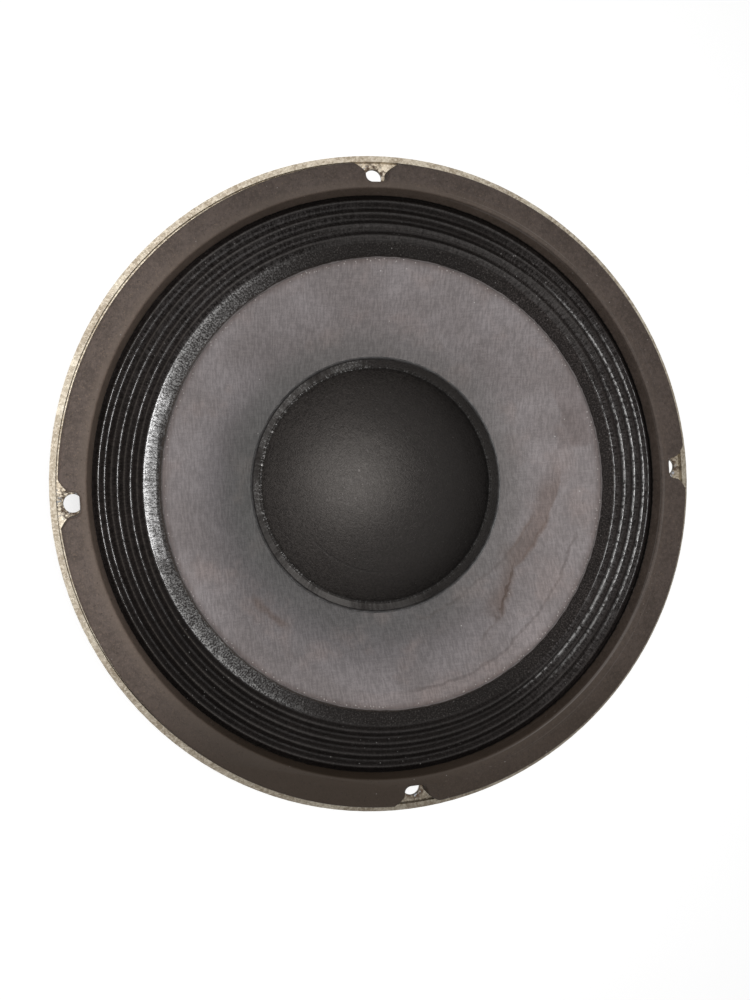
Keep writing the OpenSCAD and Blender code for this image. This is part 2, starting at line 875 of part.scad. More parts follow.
module top_plate() {
    color([0.5, 0.5, 0.5])
    difference() {
        chamfered_disc(plate_r, z_top_plate, z_foot, plate_chamfer);
        translate([0, 0, z_top_plate - over])
            cylinder(h = top_plate_t + 2 * over, r = top_bore_r);
        for (a = hole_angles)
            rotate([0, 0, a])
                translate([rivet_circle_r, 0, z_foot - rivet_depth])
                    cylinder(h = rivet_depth + over, d = rivet_d + 2 * fit_clear);
    }
}

module magnet() {
    color([0.2, 0.2, 0.21])
    difference() {
        chamfered_disc(magnet_r, z_magnet, z_top_plate, plate_chamfer / 2);
        translate([0, 0, z_magnet - over])
            cylinder(h = magnet_t + 2 * over, d = magnet_id);
    }
}

module back_plate() {
    color([0.5, 0.5, 0.5])
    difference() {
        chamfered_disc(plate_r, 0, back_plate_t, plate_chamfer);
        translate([0, 0, -over])
            cylinder(h = back_plate_t + 2 * over, r = pole_r + fit_ring);
    }
}

module pole_piece() {
    color([0.45, 0.45, 0.45])
    difference() {
        cylinder(h = z_foot + pole_rise, r = pole_r);
        translate([0, 0, -over])
            cylinder(h = z_foot + pole_rise + 2 * over, d = vent_d);
        translate([0, 0, -over])
            cylinder(h = over + screen_seat + screen_t, d = screen_d);
    }
}

screen_pitch = 3.4;
screen_hole_d = 2;
screen_rows = 2;

module vent_screen() {
    color([0.25, 0.25, 0.25])
    difference() {
        translate([0, 0, screen_seat])
            cylinder(h = screen_t, d = screen_d - 2 * screen_gap);
        for (i = [-screen_rows : screen_rows])
            for (j = [-screen_rows : screen_rows])
                if (abs(i + j) <= screen_rows)
                    translate([(i + j / 2) * screen_pitch, j * screen_pitch * sin(60), 0])
                        cylinder(h = over, d = screen_hole_d);
    }
}

module frame_rivets() {
    color([0.7, 0.7, 0.68])
    for (a = hole_angles)
        rotate([0, 0, a])
            translate([rivet_circle_r, 0, 0]) {
                translate([0, 0, z_foot - rivet_depth])
                    cylinder(h = rivet_depth + sheet_t, d = rivet_d);
                translate([0, 0, z_foot + sheet_t])
                    cylinder(h = frame_rivet_head_t, r = frame_rivet_head_r);
            }
}

basket();
gasket();
surround();
cone();
dust_cap();
dust_cap_glue();
coil_former();
former_collar();
voice_coil();
coil_wire_positive();
coil_wire_negative();
spider();
cone_eyelets();
eyelet_solder();
tinsel_lead_positive();
tinsel_lead_negative();
terminal_board();
terminal_positive();
terminal_negative();
terminal_rivets();
terminal_solder();
top_plate();
magnet();
back_plate();
pole_piece();
vent_screen();
frame_rivets();
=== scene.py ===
"""Dresses the woofer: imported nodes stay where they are, and what shows is modelled on them.

Places are in metres in the part's own frame: the magnet's rear face lies at z = 0, the cone looks
along +Z, and the four screw holes lie on the X and Y axes. The classes hold their sizes in
millimetres, and MM turns them into metres.
"""

import logging
import math
from abc import ABC, abstractmethod
from dataclasses import dataclass, field
from enum import Enum
from itertools import pairwise
from typing import Callable, Iterable, Mapping, Union

import bmesh
import bpy
from mathutils import Matrix, Vector
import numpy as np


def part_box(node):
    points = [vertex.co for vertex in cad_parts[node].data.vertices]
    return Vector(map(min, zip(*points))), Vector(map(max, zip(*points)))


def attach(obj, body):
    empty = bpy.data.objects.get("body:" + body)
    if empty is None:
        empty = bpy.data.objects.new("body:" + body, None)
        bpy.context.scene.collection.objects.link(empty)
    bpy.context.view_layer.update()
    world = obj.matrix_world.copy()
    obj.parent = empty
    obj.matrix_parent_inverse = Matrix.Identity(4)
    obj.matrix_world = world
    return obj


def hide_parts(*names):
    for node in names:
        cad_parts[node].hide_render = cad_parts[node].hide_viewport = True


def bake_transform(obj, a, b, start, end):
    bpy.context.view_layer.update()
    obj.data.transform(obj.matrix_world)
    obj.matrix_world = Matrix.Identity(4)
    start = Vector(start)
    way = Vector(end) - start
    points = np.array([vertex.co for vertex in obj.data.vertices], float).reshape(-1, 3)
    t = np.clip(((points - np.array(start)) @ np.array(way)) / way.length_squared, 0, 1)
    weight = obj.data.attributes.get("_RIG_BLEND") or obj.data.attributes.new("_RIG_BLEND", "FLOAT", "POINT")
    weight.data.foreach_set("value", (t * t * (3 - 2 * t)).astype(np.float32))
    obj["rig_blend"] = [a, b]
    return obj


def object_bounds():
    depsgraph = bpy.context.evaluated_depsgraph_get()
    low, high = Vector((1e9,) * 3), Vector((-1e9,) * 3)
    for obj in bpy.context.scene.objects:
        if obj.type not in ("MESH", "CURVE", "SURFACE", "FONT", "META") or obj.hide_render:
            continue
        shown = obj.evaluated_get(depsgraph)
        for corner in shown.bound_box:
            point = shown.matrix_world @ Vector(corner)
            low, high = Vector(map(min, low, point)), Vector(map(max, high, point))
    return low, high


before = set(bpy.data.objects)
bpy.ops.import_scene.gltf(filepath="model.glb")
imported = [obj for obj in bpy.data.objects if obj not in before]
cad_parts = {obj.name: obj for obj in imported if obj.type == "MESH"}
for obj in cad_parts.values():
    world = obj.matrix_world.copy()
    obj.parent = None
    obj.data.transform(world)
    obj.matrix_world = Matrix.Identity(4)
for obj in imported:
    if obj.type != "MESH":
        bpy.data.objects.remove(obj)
CAD_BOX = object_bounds()

logging.basicConfig(level=logging.INFO, format="%(message)s")
LOG = logging.getLogger("woofer")

MM = 0.001
FULL_TURN = 2.0 * math.pi
DRAWN_RADIUS = "drawn_radius"
BLEND_WEIGHT = "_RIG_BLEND"
ORIGIN = (0.0, 0.0, 0.0)
SAME_PLACE = MM / 1000.0
NEAR = MM / 100.0
SHARP_EDGE = 35.0
SOFT_EDGE = 60.0
Colour = tuple[float, float, float]
Point = tuple[float, float, float]
Profile = list[tuple[float, float]]
Term = Union["Value", bpy.types.NodeSocket, float, Colour, Vector]
Settings = Mapping[str, object]
Sockets = Mapping[Union[int, str], object]


class Body(Enum):
    """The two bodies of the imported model."""

    FRAME = "frame_body"
    MOVING = "moving_body"


class Pattern(Enum):
    """How the grain of a bare metal runs."""

    CAST = "cast"
    TURNED = "turned"
    WOUND = "wound"


# ---------- shader maths ----------


class Value:
    """A number that varies over a surface, so that shader maths reads as Python."""

    def __init__(self, graph: "NodeTree", socket: bpy.types.NodeSocket) -> None:
        """Wrap a socket of one node tree."""
        self.graph = graph
        self.socket = socket

    def _math(self, operation: str, *terms: Term) -> "Value":
        """Return the result of one Math node on these terms."""
        return self.graph.value("ShaderNodeMath", {"operation": operation}, dict(enumerate(terms)))

    def __add__(self, other: Term) -> "Value":
        """Return self + other."""
        return self._math("ADD", self, other)

    def __radd__(self, other: Term) -> "Value":
        """Return other + self."""
        return self._math("ADD", other, self)

    def __sub__(self, other: Term) -> "Value":
        """Return self - other."""
        return self._math("SUBTRACT", self, other)

    def __rsub__(self, other: Term) -> "Value":
        """Return other - self."""
        return self._math("SUBTRACT", other, self)

    def __mul__(self, other: Term) -> "Value":
        """Return self * other."""
        return self._math("MULTIPLY", self, other)

    def __rmul__(self, other: Term) -> "Value":
        """Return other * self."""
        return self._math("MULTIPLY", other, self)

    def __truediv__(self, other: Term) -> "Value":
        """Return self / other."""
        return self._math("DIVIDE", self, other)

    def __pow__(self, power: Term) -> "Value":
        """Return self ** power."""
        return self._math("POWER", self, power)

    def absolute(self) -> "Value":
        """Return the size of the number without its sign."""
        return self._math("ABSOLUTE", self)

    def fraction(self) -> "Value":
        """Return what is left above the whole number."""
        return self._math("FRACT", self)

    def sine(self) -> "Value":
        """Return the sine of an angle in radians."""
        return self._math("SINE", self)

    def larger(self, other: Term) -> "Value":
        """Return the larger of the two."""
        return self._math("MAXIMUM", self, other)

    def smaller(self, other: Term) -> "Value":
        """Return the smaller of the two."""
        return self._math("MINIMUM", self, other)

    def rise(self, low: float, high: float) -> "Value":
        """Return 0 below low, 1 above high and a smooth step between them."""
        sockets = {"Value": self, "From Min": low, "From Max": high}
        return self.graph.value("ShaderNodeMapRange", {"interpolation_type": "SMOOTHSTEP"}, sockets)

    def fall(self, low: float, high: float) -> "Value":
        """Return 1 below low, 0 above high and a smooth step between them."""
        return 1.0 - self.rise(low, high)

    def band(self, low: float, high: float, edge: float) -> "Value":
        """Return 1 between low and high, with soft edges of this width outside them."""
        return self.rise(low - edge, low) * self.fall(high, high + edge)


class NodeTree:
    """A node tree in which one method makes every node."""

    def __init__(self, tree: bpy.types.NodeTree) -> None:
        """Start afresh in this tree."""
        self.tree = tree
        self.tree.nodes.clear()

    def node(
        self,
        kind: str,
        settings: Settings | None = None,
        sockets: Sockets | None = None,
    ) -> bpy.types.Node:
        """Add one node: its settings first, then the values or links of its sockets.

        Args:
            kind: the node's type.
            settings: the node's own settings, such as a Math node's operation.
            sockets: a number, colour, vector, socket or Value for each input.

        Returns:
            The new node.
        """
        made = self.tree.nodes.new(kind)
        for name, setting in (settings or {}).items():
            setattr(made, name, setting)
        for key, term in (sockets or {}).items():
            self._feed(made.inputs[key], term)
        return made

    def value(
        self,
        kind: str,
        settings: Settings | None = None,
        sockets: Sockets | None = None,
        output: Union[int, str] = 0,
    ) -> Value:
        """Add one node and return one of its outputs as a Value."""
        return Value(self, self.node(kind, settings, sockets).outputs[output])

    def _feed(self, socket: bpy.types.NodeSocket, term: object) -> None:
        """Link a term to a socket, or set it as the socket's own value.

        Args:
            socket: the input that takes the term.
            term: a Value or socket to link, or a number, colour or vector to set.
        """
        if isinstance(term, Value):
            self.tree.links.new(term.socket, socket)
        elif isinstance(term, bpy.types.NodeSocket):
            self.tree.links.new(term, socket)
        elif isinstance(term, tuple) and socket.type == "RGBA":
            socket.default_value = (*term, 1.0)
        else:
            socket.default_value = term

    def seen(self) -> Value:
        """Tell the rays that show a thing itself from those that only carry its light.

        Returns:
            1 for a ray that shows it, straight, in a mirror or through glass, and 0 for any other.
        """
        rays = self.node("ShaderNodeLightPath").outputs
        kinds = ("Camera", "Glossy", "Transmission")
        camera, glossy, through = (Value(self, rays[f"Is {kind} Ray"]) for kind in kinds)
        return camera.larger(glossy).larger(through)


class Graph(NodeTree):
    """One material's node tree, with the object's own coordinates in millimetres."""

    def __init__(self, name: str) -> None:
        """Start an empty material.

        Args:
            name: the material's name.
        """
        self.material = bpy.data.materials.new(name)
        self.material.use_nodes = True
        super().__init__(self.material.node_tree)
        self.place = self.node("ShaderNodeTexCoord").outputs["Object"]
        apart = self.node("ShaderNodeSeparateXYZ", {}, {0: self.place})
        self.x = Value(self, apart.outputs[0]) / MM
        self.y = Value(self, apart.outputs[1]) / MM
        self.z = Value(self, apart.outputs[2]) / MM
        self.radius = (self.x * self.x + self.y * self.y) ** 0.5

    def toward(self, degrees: float) -> Value:
        """Return how far a place lies this way: 1 there, 0 a quarter turn away and -1 opposite."""
        turn = math.radians(degrees)
        return (self.x * math.cos(turn) + self.y * math.sin(turn)) / self.radius

    def stretched(self, scale: Point, turn: float = 0.0) -> bpy.types.NodeSocket:
        """Return object coordinates turned about Z by degrees and scaled."""
        turned = {"Rotation": (0.0, 0.0, math.radians(turn)), "Scale": scale}
        return self.node("ShaderNodeMapping", {}, {"Vector": self.place, **turned}).outputs[0]

    def polar(self, spokes: float, rings: float) -> bpy.types.NodeSocket:
        """Return coordinates that follow the rings of a turned or spun piece.

        Args:
            spokes: how fast a pattern changes round the axis.
            rings: how fast it changes outwards, per millimetre.

        Returns:
            The coordinates' socket.
        """
        ahead = self.x / self.radius * spokes
        aside = self.y / self.radius * spokes
        out = self.radius * rings
        return self.node("ShaderNodeCombineXYZ", {}, {0: ahead, 1: aside, 2: out}).outputs[0]

    def noise(
        self,
        grain: float = 1.0,
        detail: float = 2.0,
        roughness: float = 0.5,
        vector: bpy.types.NodeSocket | None = None,
        distortion: float = 0.0,
    ) -> Value:
        """Return a cloud pattern from 0 to 1.

        Args:
            grain: the size of its blots in millimetres, or in the vector's units if one is given.
            detail: how many finer layers it has.
            roughness: how strong the finer layers are.
            vector: coordinates to use instead of the object's own.
            distortion: how far the pattern is warped.

        Returns:
            The pattern's value.
        """
        scale = 1.0 / (grain * MM) if vector is None else 1.0 / grain
        sockets = {"Vector": vector or self.place, "Scale": scale, "Detail": detail}
        sockets |= {"Roughness": roughness, "Distortion": distortion}
        return self.value("ShaderNodeTexNoise", {}, sockets)

    def _voronoi(self, grain: float) -> bpy.types.Node:
        """Return a node that fills space with cells of this size in millimetres."""
        sockets = {"Vector": self.place, "Scale": 1.0 / (grain * MM)}
        return self.node("ShaderNodeTexVoronoi", {}, sockets)

    def cells(self, grain: float) -> Value:
        """Return the distance to the nearest cell's middle, as a share of a cell's size."""
        return Value(self, self._voronoi(grain).outputs["Distance"])

    def flakes(self, grain: float) -> Value:
        """Return each cell's own random shade, the same all over the cell."""
        return self.value("ShaderNodeSeparateColor", {}, {0: self._voronoi(grain).outputs["Color"]})

    def mix(self, factor: Term, start: Term, end: Term, how: str = "MIX") -> bpy.types.NodeSocket:
        """Return a colour between start and end, or the two blended in another way.

        Args:
            factor: the share of the end colour.
            start: the colour where the factor is 0.
            end: the colour where it is 1.
            how: the Mix node's blend type.

        Returns:
            The mixed colour's socket.
        """
        # of a Mix node's sockets, inputs 6 and 7 and output 2 are the ones for colours
        settings = {"data_type": "RGBA", "blend_type": how, "clamp_factor": True}
        return self.node("ShaderNodeMix", settings, {0: factor, 6: start, 7: end}).outputs[2]

    def layered(self, colour: Term, *layers: tuple[Term, Term]) -> bpy.types.NodeSocket:
        """Lay paints over a colour, one after another.

        Args:
            colour: the colour below.
            layers: each paint's share and its own colour.

        Returns:
            The colour on top.
        """
        for share, paint in layers:
            colour = self.mix(share, colour, paint)
        return colour

    def shaded(self, colour: Term, light: Value) -> bpy.types.NodeSocket:
        """Return the colour times a brightness."""
        grey = self.node("ShaderNodeCombineXYZ", {}, {0: light, 1: light, 2: light}).outputs[0]
        return self.mix(1.0, colour, grey, "MULTIPLY")

    def surface(
        self,
        sockets: Sockets,
        height: Value | None = None,
        depth: float = 0.1,
    ) -> bpy.types.Material:
        """Join a Principled shader to the output and return the finished material.

        Args:
            sockets: what the shader's sockets take.
            height: a relief from 0 to 1, if the surface has one.
            depth: the relief's height in millimetres.

        Returns:
            The material.
        """
        sockets = dict(sockets)
        if height is not None:
            relief = {"Strength": 1.0, "Distance": depth * MM, "Height": height}
            sockets["Normal"] = self.node("ShaderNodeBump", {}, relief).outputs[0]
        shader = self.node("ShaderNodeBsdfPrincipled", {}, sockets)
        self.node("ShaderNodeOutputMaterial", {}, {"Surface": shader.outputs[0]})
        return self.material


# ---------- finishes ----------


@dataclass(frozen=True)
class Finish(ABC):
    """A finish that a piece can be given, named after its slot in the record."""

    slot: str

    @abstractmethod
    def material(self) -> bpy.types.Material:
        """Return the finish as a Blender material."""


@dataclass(frozen=True)
class PlatedSteel(Finish):
    """Yellow-passivated zinc on pressed steel: spangled, dull in clouds and rusty at the holes."""

    bright: Colour = (0.43, 0.385, 0.315)
    dull: Colour = (0.185, 0.150, 0.108)
    clouded: Colour = (0.52, 0.49, 0.40)
    drawn_out: Colour = (0.50, 0.47, 0.44)
    rust: Colour = (0.095, 0.060, 0.036)
    oxide: Colour = (0.44, 0.45, 0.47)
    grime: Colour = (0.16, 0.125, 0.085)
    hole_circle: float = 120.75
    hole_edge: float = 3.2
    rusted: float = 9.5
    floor: float = 106.8
    floor_top: float = 107.6
    notch_reach: float = 125.8

    def material(self) -> bpy.types.Material:
        """Build the finish.

        Returns:
            The finish as a Blender material.
        """
        g = Graph(self.slot)
        spangle = g.flakes(0.75)
        fine = g.noise(0.45, detail=3.0, roughness=0.7)
        clouds = g.noise(14.0, detail=4.0, roughness=0.6)
        patchy = g.noise(1.6, detail=4.0, roughness=0.7)
        plated = self._plated(g, spangle * 0.45 + fine * 0.55 + clouds * 0.35, clouds)
        on_floor = g.z.rise(self.floor - 0.8, self.floor)
        on_floor = on_floor * g.z.fall(self.floor_top, self.floor_top + 0.6)
        near_hole = self._hole_distance(g)
        rusty = near_hole.fall(self.hole_edge, self.rusted) * 0.36 + patchy
        rusty = (rusty - 0.70).rise(0.0, 0.25) * on_floor
        white = g.noise(2.4, detail=3.0, roughness=0.6).rise(0.60, 0.68)
        white = white * on_floor * near_hole.fall(5.0, 9.0)
        grime = g.noise(5.0, detail=5.0, roughness=0.7).rise(0.62, 0.8) * 0.5
        # the notch floors are painted brighter: painted light against the shade of the gasket's walls
        painted_notch_light = on_floor * g.radius.fall(self.notch_reach, self.notch_reach + 0.6)
        colour = g.mix(grime, g.shaded(plated, 1.0 + painted_notch_light * 0.45), self.grime)
        colour = g.mix(white, g.mix(rusty, colour, self.rust), self.oxide)
        matte = rusty.larger(white)
        rough = 0.40 + fine * 0.16 + matte * 0.35 + grime * 0.2
        metal = 0.88 - matte * 0.8 - grime * 0.4
        relief = spangle * 0.35 + fine * 0.65 + patchy * matte
        sockets = {"Base Color": colour, "Roughness": rough, "Metallic": metal}
        return g.surface(sockets, relief, 0.11)

    def _plated(self, g: Graph, texture: Value, clouds: Value) -> bpy.types.NodeSocket:
        """Colour the clean plating, with painted light on the rim's front toward +Y.

        Args:
            g: the plating's graph.
            texture: the plating's spangle and grain, in no fixed range.
            clouds: where the plating is duller over larger areas.

        Returns:
            The plating's colour.
        """
        drawn = g.noise(vector=g.polar(60.0, 0.25), detail=2.0)
        plated = g.mix((texture - 0.2).rise(0.1, 0.95), self.dull, self.bright)
        plated = g.mix(clouds.rise(0.45, 0.75) * 0.3, plated, self.clouded)
        plated = g.mix(drawn.rise(0.55, 0.8) * 0.2, plated, self.drawn_out)
        # the rim's front is painted lighter toward +Y and toward 110°: painted light
        rim_painted_light = 0.04 + g.toward(87.0) * 0.33 + g.toward(110.0).rise(0.72, 1.0) * 0.18
        return g.shaded(plated, 0.90 + g.z.rise(105.5, 107.0) * rim_painted_light)

    def _hole_distance(self, g: Graph) -> Value:
        """Find how far the nearest screw hole is.

        Args:
            g: the plating's graph.

        Returns:
            The distance to the hole's middle, in millimetres.
        """
        along = g.x.absolute().larger(g.y.absolute()) - self.hole_circle
        across = g.x.absolute().smaller(g.y.absolute())
        return (along * along + across * across) ** 0.5


@dataclass(frozen=True)
class GasketBoard(Finish):
    """Dense brown-black board: mottled and scuffed, with painted light on one side and painted shade on
    another.
    """

    base: Colour = (0.045, 0.0335, 0.0275)
    light: Colour = (0.078, 0.0590, 0.0500)
    worn: Colour = (0.098, 0.073, 0.056)
    crumb: Colour = (0.150, 0.108, 0.078)
    scuff: Colour = (0.30, 0.28, 0.27)
    dope: Colour = (0.006, 0.0055, 0.005)
    shade_brown: Colour = (0.024, 0.0155, 0.0090)
    inner: float = 115.1
    top: float = 112.2

    def material(self) -> bpy.types.Material:
        """Build the finish.

        Returns:
            The finish as a Blender material.
        """
        g = Graph(self.slot)
        clouds = g.noise(9.0, detail=5.0, roughness=0.6)
        mottle = g.noise(1.6, detail=4.0, roughness=0.65)
        fibre = g.noise(vector=g.stretched((2600.0, 520.0, 900.0), turn=20.0), detail=2.0)
        grain = g.noise(0.45, detail=2.0)
        tone = clouds * 0.30 + mottle * 0.40 + fibre * 0.15 + grain * 0.15
        colour = g.mix(tone.rise(0.40, 0.60), self.base, self.light)
        crumbs = g.noise(0.7, detail=2.0, roughness=0.7).rise(0.55, 0.72)
        colour = g.mix(crumbs * 0.42, colour, self.crumb)
        edge = (g.radius + (clouds - 0.5) * 2.6).fall(self.inner + 1.2, self.inner + 4.6)
        colour = g.mix(edge * (0.42 - g.toward(0.0).rise(0.3, 0.9) * 0.24), colour, self.worn)
        colour = self._painted_side_light(g, colour)
        ring = g.noise(vector=g.polar(0.7, 1.9), detail=2.0).rise(0.56, 0.70)
        turned = ring * g.radius.fall(self.inner + 3.0, self.inner + 5.5) * g.x.rise(10.0, 60.0)
        colour = g.mix(turned * 0.22, colour, self.scuff)
        slanted = g.stretched((260.0, 1500.0, 300.0), turn=-35.0)
        rubbed = g.noise(vector=slanted, detail=4.0, roughness=0.7).rise(0.66, 0.76) * 0.16
        speck = g.cells(3.6).fall(0.034, 0.065) * mottle.rise(0.40, 0.60) * 0.8
        pits = g.cells(1.9).fall(0.10, 0.20) * 0.30
        doped = (g.z + (mottle - 0.5) * 1.4).fall(self.top - 5.5, self.top - 4.7)
        doped = doped * g.radius.fall(self.inner + 0.3, self.inner + 0.6)
        scuffed = rubbed.larger(speck)
        colour = g.layered(colour, (pits, self.dope), (scuffed, self.scuff), (doped, self.dope))
        rough = 0.50 + mottle * 0.16 - doped * 0.2
        relief = grain * 0.35 + fibre * 0.3 + mottle * 0.35 - turned * 0.3 - rubbed - pits
        sockets = {"Base Color": colour, "Roughness": rough, "Specular IOR Level": 0.22}
        return g.surface(sockets, relief, 0.14)

    def _painted_side_light(self, g: Graph, colour: bpy.types.NodeSocket) -> bpy.types.NodeSocket:
        """Paint light on the board toward -X, the lamp's side, and paint shade toward -Y.

        Args:
            g: the board's graph.
            colour: the board's colour before the painted light and shade.

        Returns:
            The colour with painted light and shade.
        """
        drift = g.noise(28.0, detail=3.0) * 24.0 - 12.0
        # painted light toward -X and painted shade toward -Y, browner and deepest toward 240°
        lamp_side_light = (0.0 - g.x + drift).rise(40.0, 112.0)
        low_side_shade = (0.0 - g.y + drift).rise(42.0, 108.0)
        colour = g.shaded(colour, 1.0 + lamp_side_light * 0.62)
        shade_depth = 0.60 + g.toward(240.0).rise(0.70, 1.0) * 0.26
        return g.mix(low_side_shade * shade_depth, colour, self.shade_brown)


class PleatMap:
    """Where a place lies on the pleated cloth, how its fibres run and how the lamp reaches it."""

    def __init__(self, g: Graph, cloth: "DopedCloth") -> None:
        """Work out the masks that the cloth's finish is made from.

        Args:
            g: the cloth's graph.
            cloth: the finish, with the cloth's measures.
        """
        self.drawn = g.value("ShaderNodeAttribute", {"attribute_name": DRAWN_RADIUS}, output="Fac")
        self.grain = g.noise(0.62, detail=3.0, roughness=0.7)
        fibre = g.noise(vector=g.polar(150.0, 0.42), detail=3.0, roughness=0.75)
        self.weave = (fibre * 0.55 + self.grain * 0.45).rise(0.34, 0.66)
        self.beads = g.noise(1.3, detail=2.0, roughness=0.6)
        # the phase runs from 0 to 1 over one pleat, the depth from 0 on a crest to 1 in a valley
        self.phase = ((self.drawn - cloth.band_edge) / cloth.pitch).fraction()
        self.depth = (self.phase - 0.5).absolute() * 2.0
        beyond_band = self.drawn.rise(cloth.band_edge - 0.8, cloth.band_edge - 0.2)
        self.valley = self.depth.rise(0.70, 0.90) * beyond_band
        self.band = self.drawn.fall(cloth.band_edge - 0.2, cloth.band_edge + 0.3)
        self.inside = self.drawn.fall(cloth.groove - 2.2, cloth.groove - 1.5) * (1.0 - self.band)
        ragged = self.drawn + (self.weave - 0.5) * 0.9
        self.torn = ragged.fall(cloth.band_start + 0.2, cloth.band_start + 1.3)
        # facing is the lamp's side and away the other, where the valleys shine in their own lines;
        # steep grows toward +Y and -Y, and little shines where the valleys are shut
        self.steep = (g.y / g.radius).absolute()
        self.shut = self.steep.rise(0.72, 0.97).larger(g.toward(225.0).rise(0.80, 1.0))
        self.facing = g.toward(180.0).rise(0.08, 0.88)
        self.away = g.toward(0.0).rise(0.10, 0.45)
        self.lit = cloth.lit(g, self.drawn)


@dataclass(frozen=True)
class DopedCloth(Finish):
    """Black cloth soaked in glossy dope: its band sparkles, its valleys are wet, its crests matte.

    It reads the radius at which each point was drawn, so its pattern follows cloth pulled aside.
    """

    black: Colour = (0.0046, 0.0038, 0.0035)
    dusty: Colour = (0.036, 0.029, 0.027)
    # the pale paints from fibre to glint stand for light: painted glints, sheen and highlights
    fibre: Colour = (0.150, 0.140, 0.132)
    scuffed: Colour = (0.055, 0.050, 0.049)
    rubbed: Colour = (0.060, 0.054, 0.051)
    worn: Colour = (0.080, 0.070, 0.060)
    highlight_paint: Colour = (0.30, 0.295, 0.29)
    glint: Colour = (0.55, 0.54, 0.53)
    tan: Colour = (0.105, 0.084, 0.072)
    paper: Colour = (0.190, 0.170, 0.168)
    lint: Colour = (0.26, 0.25, 0.24)
    band_edge: float = 95.4
    band_width: float = 6.5
    groove: float = 114.0
    pitch: float = 4.65
    shines: tuple[tuple[float, float, float], ...] = (
        (-5.0, 0.80, 0.5),
        (-20.0, 0.70, 0.8),
        (3.0, 0.68, 1.0),
        (-2.0, 0.78, 1.0),
    )

    @property
    def band_start(self) -> float:
        """Return the radius of the band's inner edge."""
        return self.band_edge - self.band_width

    def lit(self, g: Graph, drawn: Value) -> Value:
        """Say how far the valleys shine toward +X, each its own way and by its own strength.

        Args:
            g: the cloth's graph.
            drawn: the radius at which the place was drawn.

        Returns:
            A share from 0 to 1.
        """
        lit = drawn * 0.0
        for number, (turn, reach, strength) in enumerate(self.shines):
            near = (drawn - self.band_edge - number * self.pitch).absolute()
            near = near.fall(self.pitch * 0.45, self.pitch * 0.55)
            lit = lit.larger(near * g.toward(turn).rise(reach, reach + 0.2) * strength)
        return lit

    def _wet(self, at: PleatMap) -> Value:
        """Find the wet beads: in the valleys, on the last slope and on the seat.

        Args:
            at: the cloth's masks.

        Returns:
            How wet a place is, from 0 to 1.
        """
        last = (at.drawn - self.groove + 2.1).absolute().fall(0.3, 0.9)
        seat = at.drawn.band(self.groove + 0.1, self.groove + 0.5, 0.3)
        wet = at.valley.larger(last).larger(seat) * (0.25 + 0.75 * at.beads.rise(0.38, 0.56))
        return wet * (1.0 - at.shut * 0.75) * (1.0 - at.away * (1.0 - at.lit))

    def _sparkle(self, at: PleatMap) -> Value:
        """Find the fibres that sparkle on the band, most on the lamp's side and at its outer edge.

        Args:
            at: the cloth's masks.

        Returns:
            How strongly a place sparkles, from 0 to 1.
        """
        edge = 0.42 + 0.58 * at.drawn.rise(self.band_edge - 2.4, self.band_edge - 0.5)
        sparkle = at.band * (1.0 - at.torn * 0.5) * (0.05 + 0.95 * at.facing * edge)
        return sparkle * (0.20 + 0.80 * at.weave.rise(0.15, 0.85))

    def _crest(self, g: Graph, at: PleatMap) -> Value:
        """Find the crests that shine, toward +Y and -Y.

        Args:
            g: the cloth's graph.
            at: its masks.

        Returns:
            How far a crest shines, from 0 to 1.
        """
        upright = at.steep.rise(0.50, 0.85) * (1.0 - at.steep.rise(0.90, 1.0) * 0.35)
        upright = upright * (1.0 - g.toward(270.0).rise(0.2, 0.8) * 0.4)
        return at.depth.fall(0.02, 0.36) * at.inside * upright * (0.25 + 0.75 * at.weave)

    def _painted_highlights(self, g: Graph, at: PleatMap, sparkle: Value) -> Value:
        """Find the painted highlights: in lit valleys, one puddle, on the band's lamp side and in the outer
        groove.

        Args:
            g: the cloth's graph.
            at: its masks.
            sparkle: how strongly the band sparkles.

        Returns:
            How strong the painted highlight is, from 0 up.
        """
        valley_highlight = at.valley * at.inside * at.beads.rise(0.38, 0.60) * at.away * at.lit
        puddle_highlight = at.depth.rise(0.45, 0.85) * g.toward(-36.0).rise(0.93, 1.0) * at.inside
        puddle_highlight = puddle_highlight * at.drawn.band(98.4, 104.8, 0.8) * at.beads.rise(0.34, 0.62) * 0.8
        lobes = g.toward(132.0).rise(0.78, 1.0).larger(g.toward(222.0).rise(0.84, 1.0))
        band_glints = at.facing * sparkle * at.grain.rise(0.34, 0.70) * (0.75 + 1.9 * lobes)
        seam = at.drawn.band(self.groove - 0.12, self.groove + 0.12, 0.12)
        seam = seam * g.toward(172.0).rise(0.93, 1.0) * at.beads.rise(0.38, 0.58)
        return valley_highlight.larger(puddle_highlight).larger(band_glints).larger(seam)

    def _frayed(self, g: Graph, at: PleatMap, colour: bpy.types.NodeSocket) -> bpy.types.NodeSocket:
        """Fray the band's inner edge, where tan fibres and bare paper show.

        Args:
            g: the cloth's graph.
            at: its masks.
            colour: the cloth's colour.

        Returns:
            The colour with the frayed edge.
        """
        fringe = at.torn * (0.30 + 0.6 * at.grain) * (0.40 + 0.60 * g.toward(218.0).rise(-0.3, 0.5))
        ragged = at.drawn + (at.weave - 0.5) * 0.5
        bared = ragged.fall(self.band_start - 0.05, self.band_start + 0.4)
        return g.layered(colour, (fringe, self.tan), (bared * 0.85, self.paper))

